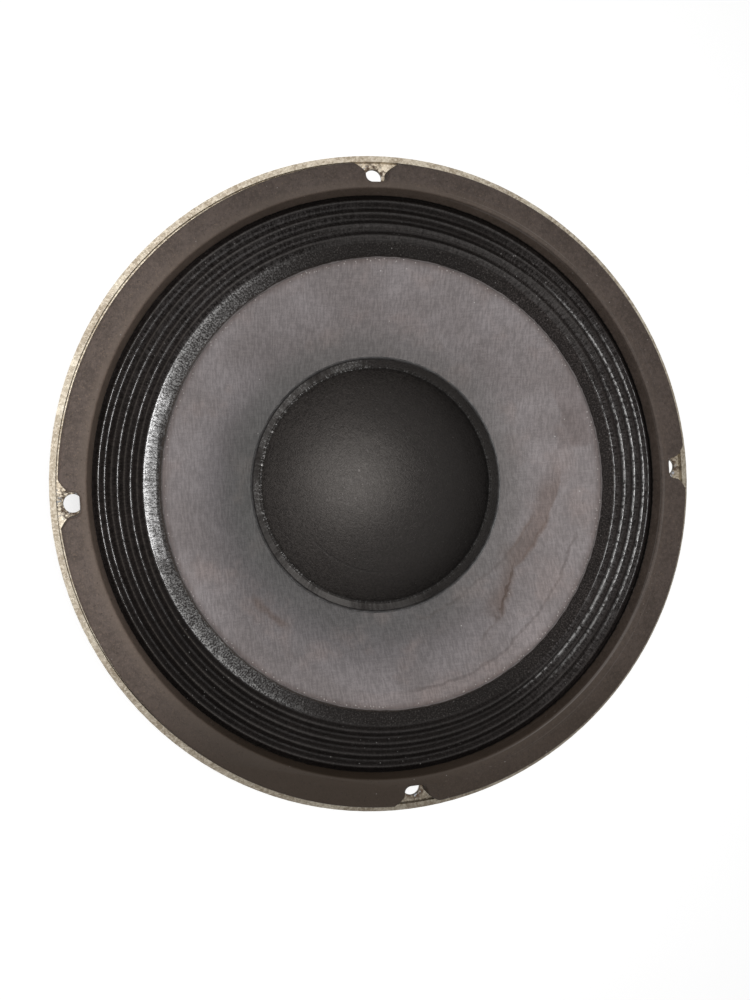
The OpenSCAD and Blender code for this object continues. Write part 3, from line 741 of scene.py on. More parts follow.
    def material(self) -> bpy.types.Material:
        """Build the finish.

        Returns:
            The finish as a Blender material.
        """
        g = Graph(self.slot)
        at = PleatMap(g, self)
        wet = self._wet(at)
        sparkle = self._sparkle(at)
        crest = self._crest(g, at)
        # the slopes toward +X and 128° are painted paler with scuffed: a painted sheen
        scuffed = g.toward(0.0).rise(0.35, 0.80).larger(g.toward(128.0).rise(0.76, 1.0))
        slopes = at.depth.rise(0.15, 0.50) * at.inside * scuffed
        sheen = at.phase.band(0.16, 0.42, 0.10) * at.inside * at.drawn.fall(101.5, 103.0)
        sheen = sheen * g.toward(66.0).rise(0.70, 0.93) * (0.2 + 0.8 * at.weave)
        # crest tops on the lamp's side are painted paler with worn: a painted highlight
        worn = at.depth.fall(0.02, 0.15) * at.inside * at.facing * (0.15 + 0.85 * at.weave)
        # fibres are pale specks away from the lamp that stand for the sparkle: painted glints
        fibres = at.grain.rise(0.50, 0.74) * (at.band * 0.32 + at.inside * 0.08) * (1.0 - at.facing)
        shining = at.depth.rise(0.80, 0.93) * at.inside * at.away * at.lit
        speckled = 1.0 - at.band * 0.55 + at.band * at.grain.rise(0.38, 0.68) * 1.2
        clouds = 0.25 + 0.9 * g.noise(16.0, detail=3.0)
        # the cloth is painted darker where the valleys are shut, toward +Y, -Y and 225°: painted shade
        dust = at.weave * clouds * (1.0 - at.shut * 0.7) * speckled
        lint = g.cells(2.7).fall(0.05, 0.12) * g.noise(30.0).rise(0.44, 0.62)
        colour = g.layered(
            g.mix(dust, self.black, self.dusty),
            (fibres, self.fibre),
            (slopes * at.weave.rise(0.3, 0.9) * 0.6, self.scuffed),
            # shining crests and the slopes' sheen are painted paler with rubbed: painted highlights
            ((crest * 0.55).larger(sheen * 0.8), self.rubbed),
            (worn * 0.55, self.worn),
            # pale paint where the lamp's reflection shows: painted highlights
            (self._painted_highlights(g, at, sparkle) * 0.75, self.highlight_paint),
            # pale lines in the lit valleys: painted glints
            (shining * at.beads.rise(0.40, 0.56) * 0.35, self.glint),
        )
        colour = g.mix(lint * 0.7, self._frayed(g, at, colour), self.lint)
        gloss = wet.larger(sparkle).larger(slopes * at.weave.rise(0.25, 0.85) * 0.55)
        gloss = gloss.larger(crest * 0.75).larger(sheen * 0.5)
        rough = 0.46 - 0.24 * gloss + (at.grain - 0.5) * 0.2
        relief = at.weave * (0.30 - 0.08 * at.band) * (1.0 - shining * 0.6) + at.beads * wet * 0.3
        sockets = {
            "Base Color": colour,
            "Roughness": rough.larger(0.14),
            "Specular IOR Level": 0.11,
            "Specular Tint": (1.0, 0.93, 0.89),
            "Coat Weight": gloss,
            "Coat Roughness": 0.13,
        }
        return g.surface(sockets, relief, 0.42)


@dataclass(frozen=True)
class ConePaper(Finish):
    """Grey pressed paper with its screen's print, old water stains and a brown, glued rim."""

    grey: Colour = (0.245, 0.221, 0.222)
    dark: Colour = (0.200, 0.178, 0.176)
    pink: Colour = (0.258, 0.212, 0.200)
    shade_grey: Colour = (0.090, 0.087, 0.090)
    glued: Colour = (0.085, 0.058, 0.048)
    lint: Colour = (0.50, 0.47, 0.45)
    fleck: Colour = (0.07, 0.06, 0.055)
    speck: Colour = (0.62, 0.60, 0.58)
    brown: Colour = (0.118, 0.078, 0.060)
    trace: Colour = (0.062, 0.040, 0.030)
    tide: Colour = (0.085, 0.066, 0.060)
    blot: Colour = (0.125, 0.098, 0.092)
    cap_side_shade: Colour = (0.120, 0.120, 0.114)
    rim: float = 88.6
    neck: float = 54.0
    screen_turn: float = -3.0

    def material(self) -> bpy.types.Material:
        """Build the finish.

        Returns:
            The finish as a Blender material.
        """
        g = Graph(self.slot)
        warp = g.noise(7.0, detail=4.0, roughness=0.6)
        clouds = g.noise(26.0, detail=4.0, roughness=0.55)
        upright = g.noise(vector=g.stretched((1450.0, 260.0, 300.0), self.screen_turn), detail=1.0)
        level = g.noise(vector=g.stretched((260.0, 1450.0, 300.0), self.screen_turn), detail=1.0)
        grain = g.noise(0.5, detail=2.0, roughness=0.7)
        screen = (upright * 0.45 + level * 0.20 + grain * 0.35).rise(0.36, 0.64)
        # the cone is painted darker toward 222°, deepest in toward the cap: painted shade
        cone_painted_shade = g.toward(222.0).rise(-0.5, 0.8) * g.radius.fall(60.0, 88.0)
        pinkish = g.noise(18.0, detail=3.0, roughness=0.6).rise(0.5, 0.72)
        colour = g.mix(clouds.rise(0.38, 0.66), self.dark, self.grey)
        colour = g.layered(colour, (cone_painted_shade * 0.66, self.shade_grey), (pinkish * 0.45, self.pink))
        colour = self._stained(g, colour, warp)
        # the cone is painted lighter toward -12° and, further out, toward 176°: painted light
        cone_painted_light = g.toward(-12.0).rise(0.45, 1.0) * 0.15
        cone_painted_light = cone_painted_light + g.toward(176.0).rise(0.70, 1.0) * g.radius.rise(60.0, 76.0) * 0.12
        rim = (g.radius + (grain - 0.5) * 3.4).rise(self.rim - 2.4, self.rim)
        lint = g.cells(1.3).fall(0.16, 0.26) * g.radius.band(self.rim - 0.9, self.rim + 0.2, 0.7)
        colour = g.layered(
            g.shaded(colour, 0.84 + cone_painted_light + screen * 0.38),
            (rim * (0.30 + warp * 0.3), self.glued),
            (lint * 0.65, self.lint),
            (g.cells(3.1).fall(0.05, 0.09) * 0.3, self.fleck),
            (g.cells(9.0).fall(0.022, 0.034) * 0.7, self.speck),
        )
        rough = 0.80 + grain * 0.12
        sockets = {"Base Color": colour, "Roughness": rough, "Specular IOR Level": 0.25}
        return g.surface(sockets, screen, 0.09)

    def _stained(self, g: Graph, colour: bpy.types.NodeSocket, warp: Value) -> bpy.types.NodeSocket:
        """Lay the water stains on the paper, placed by their angle in degrees and their radius.

        Args:
            g: the paper's graph.
            colour: the clean paper's colour.
            warp: what makes the stains' edges ragged.

        Returns:
            The stained colour.
        """
        turn = g.value("ShaderNodeMath", {"operation": "ARCTAN2"}, {0: g.y, 1: g.x})
        angle = turn * math.degrees(1.0) + (warp - 0.5) * 5.0
        radius = g.radius + (warp - 0.5) * 4.0
        # a run down the right, sharp on its outer side, that turns into a thin dark trace
        shore = radius - 74.7 - angle * 0.22
        run = shore.rise(-8.5, -3.5) * shore.fall(-0.5, 0.5) * angle.band(-31.0, -8.0, 14.0)
        course = radius - 52.2 + angle * 0.378
        halo = course.rise(-7.5, -0.5) * course.fall(0.0, 2.6) * angle.band(-49.0, -33.0, 8.0)
        rims = shore.absolute().fall(0.2, 1.1) * angle.band(-30.0, -16.0, 6.0)
        rims = rims.larger((shore + 5.6).absolute().fall(0.2, 0.9) * angle.band(-29.0, -18.0, 5.0))
        trace = course.absolute().fall(0.15, 0.95) * angle.band(-52.0, -38.0, 5.0)
        faint = course.absolute().fall(0.1, 0.8) * angle.band(-60.0, -34.0, 4.0)
        trace = trace.larger(faint * 0.45)
        # the tide line along the bottom, with slightly pinker paper outside it
        shelf = 81.9 + angle.fall(-58.0, -50.0) * 1.3
        outside = (radius - shelf).rise(-0.6, 1.0) * angle.band(-98.0, -50.0, 12.0)
        tide = (radius - shelf).absolute().fall(0.2, 0.75) * angle.band(-84.0, -22.0, 8.0)
        # a faint ring beside the cap, a short run on the left and a blot on the right
        inner = radius - 58.6 - (angle.larger(-48.0) + 48.0) * 0.21
        ring = inner.absolute().fall(0.15, 0.8) * angle.band(-76.0, -35.0, 6.0)
        left = (radius - 70.0).absolute().fall(0.4, 2.4) * angle.band(-142.0, -131.0, 4.0)
        blot = radius.band(80.0, 86.5, 1.6) * angle.rise(7.0, 9.5) * angle.fall(17.0, 36.0)
        blot = blot.larger(radius.band(76.5, 79.5, 2.5) * angle.band(9.0, 14.0, 2.5) * 0.7)
        # painted shade on the paper round the cap, deepest toward 165°
        cap_side_shade = g.radius.fall(self.neck + 1.0, self.neck + 16.0)
        cap_side_shade = cap_side_shade * (0.38 + g.toward(165.0).rise(0.2, 1.0) * 0.24)
        return g.layered(
            colour,
            (run.larger(halo) * 0.48, self.brown),
            (rims * 0.36, self.brown),
            (trace * (0.12 + warp * 0.85), self.trace),
            (outside * 0.22, self.pink),
            (tide * (0.12 + warp * 0.38), self.tide),
            (ring * 0.32, self.tide),
            (left * 0.45, self.brown),
            (blot * 0.50, self.blot),
            (cap_side_shade, self.cap_side_shade),
        )


@dataclass(frozen=True)
class CapPaper(Finish):
    """Charcoal pressed felt with a fibrous nap, a wet line of glue and a dusty flange, with painted light,
    shade, highlight and glints.
    """

    black: Colour = (0.0030, 0.0025, 0.0023)
    soft: Colour = (0.0210, 0.0185, 0.0170)
    dome_highlight: Colour = (0.105, 0.097, 0.090)
    flange: Colour = (0.120, 0.113, 0.108)
    seam: Colour = (0.005, 0.005, 0.005)
    shaded_crease: Colour = (0.007, 0.007, 0.007)
    lint: Colour = (0.15, 0.14, 0.13)
    glint: Colour = (0.50, 0.49, 0.48)
    dome_edge: float = 49.4
    crease: float = 36.4
    highlight_middle: tuple[float, float] = (-13.0, 5.0)
    highlight_reach: float = 30.0

    def material(self) -> bpy.types.Material:
        """Build the finish.

        Returns:
            The finish as a Blender material.
        """
        g = Graph(self.slot)
        felt = g.noise(0.9, detail=3.0, roughness=0.7)
        nap = g.noise(1.8, detail=4.0, roughness=0.75, distortion=2.2)
        lumps = g.noise(4.0, detail=3.0)
        clouds = g.noise(22.0, detail=3.0)
        fuzz = (felt * 0.5 + nap * 0.5).rise(0.36, 0.64)
        side = (0.0 - g.x + g.y * 0.15).rise(-52.0, 52.0)
        ring = g.radius.rise(self.dome_edge + 0.5, self.dome_edge + 1.0)
        streaks = g.noise(vector=g.polar(42.0, 0.16), detail=3.0, roughness=0.7)
        patches = g.noise(vector=g.polar(3.1, 0.05), detail=2.0)
        seam = (g.radius - self.dome_edge).absolute().fall(0.12, 0.5)
        shaded_crease = (g.radius + (lumps - 0.5) * 1.6 - self.crease).absolute().fall(0.1, 0.7)
        shaded_crease = shaded_crease * (0.0 - g.x * 0.6 - g.y).rise(34.0, 42.0)
        glued = self._glued(g, ring, streaks, patches)
        crumbs = g.noise(0.8, detail=2.0, roughness=0.7).rise(0.50, 0.60)
        dome_highlight = self._highlight_distance(g).fall(2.0, self.highlight_reach) * (0.16 + fuzz * 0.36)
        colour = g.mix(fuzz * (0.45 + clouds * 0.5), self.black, self.soft)
        colour = g.layered(
            # the dome is painted lighter toward -X and darker toward +X: painted light and shade
            g.shaded(colour, 0.22 + side * 1.75),
            # a pale patch toward -X on the dome: a painted highlight
            (dome_highlight, self.dome_highlight),
            (self._flange_dust_and_light(g, ring, streaks, patches), self.flange),
            (seam * 0.8, self.seam),
            # a dark line in the crease: painted shade
            (shaded_crease * 0.4, self.shaded_crease),
            (g.cells(4.0).fall(0.04, 0.07) * 0.3, self.lint),
            # pale crumbs on the wet glue: painted glints
            (glued * crumbs * 0.8, self.glint),
        )
        sockets = {
            "Base Color": colour,
            "Roughness": 0.315 + fuzz * 0.15 + ring * 0.25 - glued * 0.30,
            "Specular IOR Level": 0.36,
            "Specular Tint": (1.0, 0.92, 0.87),
            "Coat Weight": glued,
            "Coat Roughness": 0.12,
        }
        relief = fuzz * 0.32 + lumps * 0.25 - shaded_crease * 0.3 + ring * streaks * 0.9 + glued * 0.5
        return g.surface(sockets, relief, 0.21)

    def _highlight_distance(self, g: Graph) -> Value:
        """Find how far the middle of the dome's painted highlight is.

        Args:
            g: the cap's graph.

        Returns:
            The distance, in millimetres.
        """
        aside = g.x - self.highlight_middle[0]
        ahead = g.y - self.highlight_middle[1]
        return (aside**2.0 + ahead**2.0) ** 0.5

    @staticmethod
    def _flange_dust_and_light(g: Graph, ring: Value, streaks: Value, patches: Value) -> Value:
        """Find the dust on the flange, thickest toward -X and -Y, with painted light strongest toward -X.

        Args:
            g: the cap's graph.
            ring: where the flange is.
            streaks: fine streaks round the flange.
            patches: broad patches round it.

        Returns:
            How pale the flange is from dust and painted light, from 0 to 1.
        """
        # lit is painted light on the flange
        lit = g.toward(190.0).rise(-0.55, 0.95) * (1.0 - g.toward(180.0).rise(0.80, 0.98) * 0.55)
        thick = streaks * 0.9 + patches * 1.6 - 0.90 + g.toward(226.0).rise(0.70, 1.0) * 0.32
        return ring * (0.04 + lit * 0.96) * thick.rise(0.0, 0.75)

    def _glued(self, g: Graph, ring: Value, streaks: Value, patches: Value) -> Value:
        """Find the wet glue: beads in the seam, and licks on the flange toward -X and +Y.

        Args:
            g: the cap's graph.
            ring: where the flange is.
            streaks: fine streaks round the flange.
            patches: broad patches round it.

        Returns:
            How much glue there is, from 0 to 1.
        """
        beads = streaks.rise(0.46, 0.60) * (0.12 + 0.88 * g.toward(165.0).rise(0.1, 0.8))
        beads = g.radius.band(self.dome_edge - 0.1, self.dome_edge + 1.0, 0.3) * beads
        licked = ring * (streaks * 0.7 + patches * 1.3 - 0.5).rise(0.45, 0.75)
        return beads.larger(licked * g.toward(140.0).rise(0.3, 0.95) * 0.45)


@dataclass(frozen=True)
class BlackGlue(Finish):
    """Black contact glue, uneven and half glossy, with tan crusts where it has cracked."""

    thick: Colour = (0.010, 0.009, 0.009)
    thin: Colour = (0.024, 0.021, 0.020)
    crust: Colour = (0.21, 0.155, 0.10)

    def material(self) -> bpy.types.Material:
        """Build the finish.

        Returns:
            The finish as a Blender material.
        """
        g = Graph(self.slot)
        flow = g.noise(2.2, detail=3.0)
        crust = g.noise(6.5, detail=4.0, roughness=0.7).rise(0.66, 0.72)
        colour = g.mix(crust * 0.6, g.mix(flow.rise(0.3, 0.7), self.thick, self.thin), self.crust)
        sockets = {"Base Color": colour, "Roughness": 0.32 + flow * 0.25 + crust * 0.3}
        return g.surface(sockets, flow, 0.2)


@dataclass(frozen=True)
class WovenCloth(Finish):
    """Amber phenolic cloth, pressed in rings, with the threads of its weave."""

    thread: Colour = (0.52, 0.335, 0.115)
    between: Colour = (0.235, 0.125, 0.035)
    resin: Colour = (0.30, 0.165, 0.05)
    pitch: float = 0.85

    def material(self) -> bpy.types.Material:
        """Build the finish.

        Returns:
            The finish as a Blender material.
        """
        g = Graph(self.slot)
        warp = (g.x * (FULL_TURN / self.pitch)).sine()
        weft = (g.y * (FULL_TURN / self.pitch)).sine()
        over = (warp * weft) * 0.5 + 0.5
        threads = warp.absolute().larger(weft.absolute())
        resin = g.noise(9.0, detail=4.0, roughness=0.6)
        fuzz = g.noise(0.3, detail=2.0)
        colour = g.mix(threads.rise(0.35, 0.9), self.between, self.thread)
        colour = g.mix(resin.rise(0.48, 0.72) * 0.45, colour, self.resin)
        colour = g.shaded(colour, 0.8 + fuzz * 0.35)
        sockets = {"Base Color": colour, "Roughness": 0.62 + fuzz * 0.2, "Specular IOR Level": 0.4}
        return g.surface(sockets, threads * 0.6 + over * 0.4, 0.16)


@dataclass(frozen=True)
class BareMetal(Finish):
    """A bare or thinly plated metal, with the marks of how it was made and its tarnish."""

    colour: Colour
    tarnish: Colour
    rough: float = 0.34
    grain: float = 1.0
    dirt: float = 0.35
    pattern: Pattern = Pattern.CAST

    def _marks(self, g: Graph) -> Value:
        """Find the marks that making the piece left on it.

        Args:
            g: the metal's graph.

        Returns:
            The marks' height, from 0 to 1.
        """
        if self.pattern is Pattern.TURNED:
            return g.noise(vector=g.polar(0.35, 5.0), detail=3.0, roughness=0.6)
        if self.pattern is Pattern.WOUND:
            return (g.z * (FULL_TURN / self.grain)).sine() * 0.5 + 0.5
        return g.noise(self.grain, detail=4.0, roughness=0.6)

    def material(self) -> bpy.types.Material:
        """Build the finish.

        Returns:
            The finish as a Blender material.
        """
        g = Graph(self.slot)
        marks = self._marks(g)
        stain = g.noise(7.0, detail=5.0, roughness=0.65)
        pits = g.noise(0.5, detail=2.0)
        dull = (stain + (pits - 0.5) * 0.25).rise(0.48, 0.74) * self.dirt
        shade = g.shaded(self.colour, 0.86 + marks * 0.26)
        colour = g.mix(dull, shade, self.tarnish)
        rough = self.rough + marks * 0.10 + dull * 0.45
        sockets = {"Base Color": colour, "Roughness": rough, "Metallic": 1.0 - dull * 0.8}
        return g.surface(sockets, marks * 0.75 + pits * 0.25, 0.05)


@dataclass(frozen=True)
class Ferrite(Finish):
    """Sintered ferrite: dark grey, ground flat on its faces, with pale chips and dust."""

    dark: Colour = (0.026, 0.026, 0.028)
    grey: Colour = (0.056, 0.056, 0.060)
    dust: Colour = (0.17, 0.16, 0.145)
    chip: Colour = (0.120, 0.120, 0.125)
    edge: float = 63.0
    edge_width: float = 1.5

    def material(self) -> bpy.types.Material:
        """Build the finish.

        Returns:
            The finish as a Blender material.
        """
        g = Graph(self.slot)
        grit = g.noise(0.4, detail=3.0, roughness=0.7)
        ground = g.noise(vector=g.stretched((160.0, 2600.0, 2600.0), turn=12.0), detail=2.0)
        chips = g.noise(3.0, detail=4.0, roughness=0.75).rise(0.60, 0.65)
        reach = Extent.of("magnet")
        rim = (g.z - reach.low).absolute().smaller((g.z - reach.high).absolute())
        rim = (rim + g.noise(1.3, detail=3.0) * 2.4).fall(0.9, 1.5)
        rim = rim * g.radius.rise(self.edge, self.edge + self.edge_width)
        chips = chips.larger(rim)
        dust = g.noise(20.0, detail=5.0, roughness=0.6).rise(0.36, 0.75)
        colour = g.mix(grit.rise(0.3, 0.75), self.dark, self.grey)
        colour = g.layered(colour, (dust * 0.34, self.dust), (chips * 0.50, self.chip))
        rough = 0.50 + grit * 0.18 + dust * 0.14
        relief = grit * 0.4 + ground * 0.25 - chips * 0.7
        return g.surface({"Base Color": colour, "Roughness": rough}, relief, 0.12)


@dataclass(frozen=True)
class Laminate(Finish):
    """Brown phenolic board: paper layers under resin, with pale fibres."""

    dark: Colour = (0.095, 0.042, 0.018)
    light: Colour = (0.225, 0.115, 0.052)

    def material(self) -> bpy.types.Material:
        """Build the finish.

        Returns:
            The finish as a Blender material.
        """
        g = Graph(self.slot)
        layers = g.noise(vector=g.stretched((420.0, 420.0, 3800.0)), detail=3.0)
        fibre = g.noise(vector=g.stretched((2200.0, 380.0, 900.0), turn=45.0), detail=3.0)
        blot = g.noise(4.0, detail=3.0)
        tone = layers * 0.35 + fibre * 0.35 + blot * 0.3
        colour = g.mix(tone.rise(0.34, 0.66), self.dark, self.light)
        sockets = {"Base Color": colour, "Roughness": 0.34 + blot * 0.2}
        return g.surface(sockets, fibre, 0.03)


@dataclass(frozen=True)
class WoundSheet(Finish):
    """A thin film or paper wound into a tube: even, with faint fibres and glued patches."""

    base: Colour
    patch: Colour
    rough: float

    def material(self) -> bpy.types.Material:
        """Build the finish.

        Returns:
            The finish as a Blender material.
        """
        g = Graph(self.slot)
        fibre = g.noise(vector=g.stretched((700.0, 700.0, 2400.0)), detail=3.0)
        patch = g.noise(5.0, detail=4.0, roughness=0.6).rise(0.45, 0.7)
        colour = g.mix(patch * 0.6, g.shaded(self.base, 0.8 + fibre * 0.4), self.patch)
        return g.surface({"Base Color": colour, "Roughness": self.rough + fibre * 0.1}, fibre, 0.03)


@dataclass(frozen=True)
class Braid(Finish):
    """Tinsel braid: copper foil on thread, bright on its high strands and brown between them."""

    between: Colour = (0.20, 0.105, 0.06)
    foil: Colour = (0.68, 0.46, 0.30)
    tarnish: Colour = (0.30, 0.19, 0.12)

    def material(self) -> bpy.types.Material:
        """Build the finish.

        Returns:
            The finish as a Blender material.
        """
        g = Graph(self.slot)
        strand = g.noise(0.35, detail=3.0, roughness=0.7)
        aged = g.noise(6.0, detail=3.0).rise(0.4, 0.75)
        colour = g.mix(strand.rise(0.35, 0.6), self.between, self.foil)
        colour = g.mix(aged * 0.4, colour, self.tarnish)
        rough = 0.36 + aged * 0.25
        metal = 0.85 - aged * 0.4
        sockets = {"Base Color": colour, "Roughness": rough, "Metallic": metal}
        return g.surface(sockets, strand, 0.12)


FINISHES: dict[str, Finish] = {
    finish.slot: finish
    for finish in (
        PlatedSteel("plated_steel"),
        GasketBoard("gasket_board"),
        DopedCloth("doped_cloth"),
        ConePaper("cone_paper"),
        CapPaper("cap_paper"),
        BlackGlue("black_glue"),
        WovenCloth("spider_cloth"),
        Ferrite("ferrite"),
        Laminate("phenolic_board"),
        Braid("tinsel_braid"),
        WoundSheet("former_film", base=(0.30, 0.17, 0.07), patch=(0.12, 0.06, 0.025), rough=0.35),
        WoundSheet("kraft_paper", base=(0.42, 0.30, 0.18), patch=(0.25, 0.15, 0.07), rough=0.7),
        BareMetal("eyelet_brass", colour=(0.62, 0.47, 0.22), tarnish=(0.22, 0.15, 0.06)),
        BareMetal(
            "copper_wire",
            colour=(0.72, 0.34, 0.18),
            tarnish=(0.30, 0.12, 0.06),
            rough=0.3,
            grain=0.36,
            pattern=Pattern.WOUND,
        ),
        BareMetal(
            "solder",
            colour=(0.62, 0.62, 0.60),
            tarnish=(0.30, 0.29, 0.27),
            rough=0.28,
            grain=0.7,
            dirt=0.5,
        ),
        BareMetal(
            "tinned_brass",
            colour=(0.68, 0.60, 0.38),
            tarnish=(0.30, 0.24, 0.14),
            rough=0.30,
            grain=1.4,
            dirt=0.5,
        ),
        BareMetal(
            "rivet_metal",
            colour=(0.66, 0.66, 0.64),
            tarnish=(0.28, 0.26, 0.23),
            rough=0.32,
            dirt=0.5,
        ),
        BareMetal(
            "magnet_steel",
            colour=(0.31, 0.30, 0.28),
            tarnish=(0.17, 0.150, 0.120),
            dirt=0.5,
            pattern=Pattern.TURNED,
        ),
        BareMetal(
            "screen_wire",
            colour=(0.16, 0.16, 0.16),
            tarnish=(0.05, 0.045, 0.04),
            rough=0.45,
            grain=0.6,
            dirt=0.6,
        ),
    )
}


class Paintbox:
    """Makes each finish's material once and gives it to pieces."""

    def __init__(self) -> None:
        """Start with no material made."""
        self._made: dict[str, bpy.types.Material] = {}

    def paint(self, piece: bpy.types.Object, slot: str) -> None:
        """Give a piece one slot's finish all over.

        Args:
            piece: the piece.
            slot: the slot's name in the record.
        """
        if slot not in self._made:
            self._made[slot] = FINISHES[slot].material()
        piece.data.materials.clear()
        piece.data.materials.append(self._made[slot])


PAINTBOX = Paintbox()


# ---------- modelling ----------


def ring_profile(points: Iterable[tuple[float, float]]) -> Profile:
    """Return points given in millimetres as (radius, height) in metres."""
    return [(radius * MM, height * MM) for radius, height in points]


def mix(start: float, end: float, share: float) -> float:
    """Return the number that lies this share of the way from start to end."""
    return start + (end - start) * share


def smooth(share: float) -> float:
    """Return a share that starts and ends gently."""
    return share * share * (3.0 - 2.0 * share)


def clamp(share: float) -> float:
    """Return the share, kept between 0 and 1."""
    return min(max(share, 0.0), 1.0)


class Bench:
    """Models meshes with Blender's own operators, as by hand."""

    @staticmethod
    def begin(name: str, kind: str, **sizes: object) -> bpy.types.Object:
        """Add a primitive with nothing else selected, and open it in edit mode.

        Args:
            name: the piece's name.
            kind: the primitive, as in bpy.ops.mesh.primitive_KIND_add.
            sizes: the primitive's own arguments.

        Returns:
            The new object.
        """
        bpy.ops.object.select_all(action="DESELECT")
        getattr(bpy.ops.mesh, f"primitive_{kind}_add")(**sizes)
        piece = bpy.context.object
        piece.name = name
        piece.data.name = name
        bpy.ops.object.mode_set(mode="EDIT")
        return piece

    @staticmethod
    def pick(
        piece: bpy.types.Object, chosen: Callable[[Vector], bool], faces: bool = False
    ) -> None:
        """Select only the points, or the faces by their middle, for which chosen holds.

        Args:
            piece: the object in edit mode.
            chosen: says of a place whether it is selected.
            faces: whether faces are selected instead of points.
        """
        bpy.ops.mesh.select_mode(type="FACE" if faces else "VERT")
        bpy.ops.mesh.select_all(action="DESELECT")
        mesh = bmesh.from_edit_mesh(piece.data)
        if faces:
            for face in mesh.faces:
                face.select_set(chosen(face.calc_center_median()))
        else:
            for point in mesh.verts:
                point.select_set(chosen(point.co))
        mesh.select_flush_mode()
        bmesh.update_edit_mesh(piece.data)

    @staticmethod
    def trace(route: Iterable[Vector]) -> None:
        """Extrude the one selected point along a route, point by point."""
        for here, there in pairwise(route):
            bpy.ops.mesh.extrude_vertices_move(TRANSFORM_OT_translate={"value": there - here})

    @staticmethod
    def wire(name: str, route: list[Vector]) -> bpy.types.Object:
        """Start a piece as one point and draw it out along a route.

        Args:
            name: the piece's name.
            route: its points, in metres.

        Returns:
            The new object, in edit mode.
        """
        piece = Bench.begin(name, "plane", size=MM, location=route[0])
        bpy.ops.mesh.merge(type="CENTER")
        Bench.trace(route)
        return piece

    @staticmethod
    def close(piece: bpy.types.Object, upwards: bool = False) -> bpy.types.Object:
        """Merge doubles, turn the faces the right way and leave edit mode, with the place applied.

        Args:
            piece: the object in edit mode.
            upwards: whether the faces of an open sheet are turned up instead of outwards.

        Returns:
            The same object.
        """
        bpy.ops.mesh.select_mode(type="VERT")
        bpy.ops.mesh.select_all(action="SELECT")
        bpy.ops.mesh.remove_doubles(threshold=SAME_PLACE)
        bpy.ops.mesh.normals_make_consistent(inside=False)
        bpy.ops.object.mode_set(mode="OBJECT")
        rise = sum(face.normal.z * face.area for face in piece.data.polygons)
        if upwards and rise < 0.0:
            bpy.ops.object.mode_set(mode="EDIT")
            bpy.ops.mesh.flip_normals()
            bpy.ops.object.mode_set(mode="OBJECT")
        bpy.ops.object.transform_apply(location=True, rotation=True, scale=True)
        return piece

    @staticmethod
    def lathe(name: str, profile: Profile, sides: int, closed: bool = False) -> bpy.types.Object:
        """Spin a profile round the speaker's axis.

        Args:
            name: the piece's name.
            profile: its points, as (radius, height).
            sides: how many sides a full turn has.
            closed: whether the last point joins the first. If not, the sheet faces up.

        Returns:
            The new object.
        """
        route = [Vector((radius, 0.0, height)) for radius, height in profile]
        piece = Bench.wire(name, route + route[:1] if closed else route)
        bpy.ops.mesh.select_all(action="SELECT")
        bpy.ops.mesh.spin(steps=sides, angle=FULL_TURN, center=ORIGIN, axis=(0.0, 0.0, 1.0))
        return Bench.close(piece, upwards=not closed)

    @staticmethod
    def take(piece: bpy.types.Object) -> None:
        """Select one piece alone and make it the active one.

        Args:
            piece: the object in object mode.
        """
        bpy.ops.object.select_all(action="DESELECT")
        piece.select_set(True)
        bpy.context.view_layer.objects.active = piece

    @staticmethod
    def finish_with(piece: bpy.types.Object, kind: str, **settings: object) -> None:
        """Add one modifier and apply it.

        Args:
            piece: the object in object mode.
            kind: the modifier's type.
            settings: the modifier's own settings.
        """
        Bench.take(piece)
        modifier = piece.modifiers.new(kind.title(), kind)
        for name, setting in settings.items():
            setattr(modifier, name, setting)
        bpy.ops.object.modifier_apply(modifier=modifier.name)

    @staticmethod
    def roughen(piece: bpy.types.Object, size: float, height: float) -> None:
        """Push a surface in and out by clouds.

        Args:
            piece: the object in object mode.
            size: how large the clouds are, in millimetres.
            height: how far they push in all, in millimetres.
        """
        clouds = bpy.data.textures.new(f"{piece.name}_clouds", "CLOUDS")
        clouds.noise_scale = size * MM
        clouds.noise_depth = 2
        settings = {"texture": clouds, "strength": height * MM, "texture_coords": "LOCAL"}
        Bench.finish_with(piece, "DISPLACE", **settings)

    @staticmethod
    def thicken(piece: bpy.types.Object, thickness: float) -> None:
        """Give a sheet its thickness behind the face that was modelled."""
        Bench.finish_with(piece, "SOLIDIFY", thickness=thickness, offset=-1.0)

    @staticmethod
    def smooth_by_angle(piece: bpy.types.Object, degrees: float = SHARP_EDGE) -> None:
        """Shade smooth across edges flatter than this angle."""
        Bench.take(piece)
        bpy.ops.object.shade_smooth_by_angle(angle=math.radians(degrees))


@dataclass(frozen=True)
class Extent:
    """How far a round node reaches, in millimetres."""

    radius: float
    low: float
    high: float

    @classmethod
    def of(cls, node: str) -> "Extent":
        """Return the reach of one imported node."""
        low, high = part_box(node)
        return cls(max(high.x, high.y) / MM, low.z / MM, high.z / MM)


def blend_by_radius(piece: bpy.types.Object, held: float, carried: float) -> None:
    """Let a ring or lead bend between the frame and the cone by its distance from the axis.

    Args:
        piece: the finished mesh.
        held: the radius in millimetres from which it stays with the frame.
        carried: the radius in millimetres within which it moves with the cone.
    """
    start, end = (held * MM, 0, 0), (carried * MM, 0, 0)
    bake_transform(piece, Body.FRAME.value, Body.MOVING.value, start=start, end=end)
    weights = piece.data.attributes[BLEND_WEIGHT].data
    for point, weight in zip(piece.data.vertices, weights):
        share = (math.hypot(point.co.x, point.co.y) / MM - held) / (carried - held)
        weight.value = smooth(clamp(share))


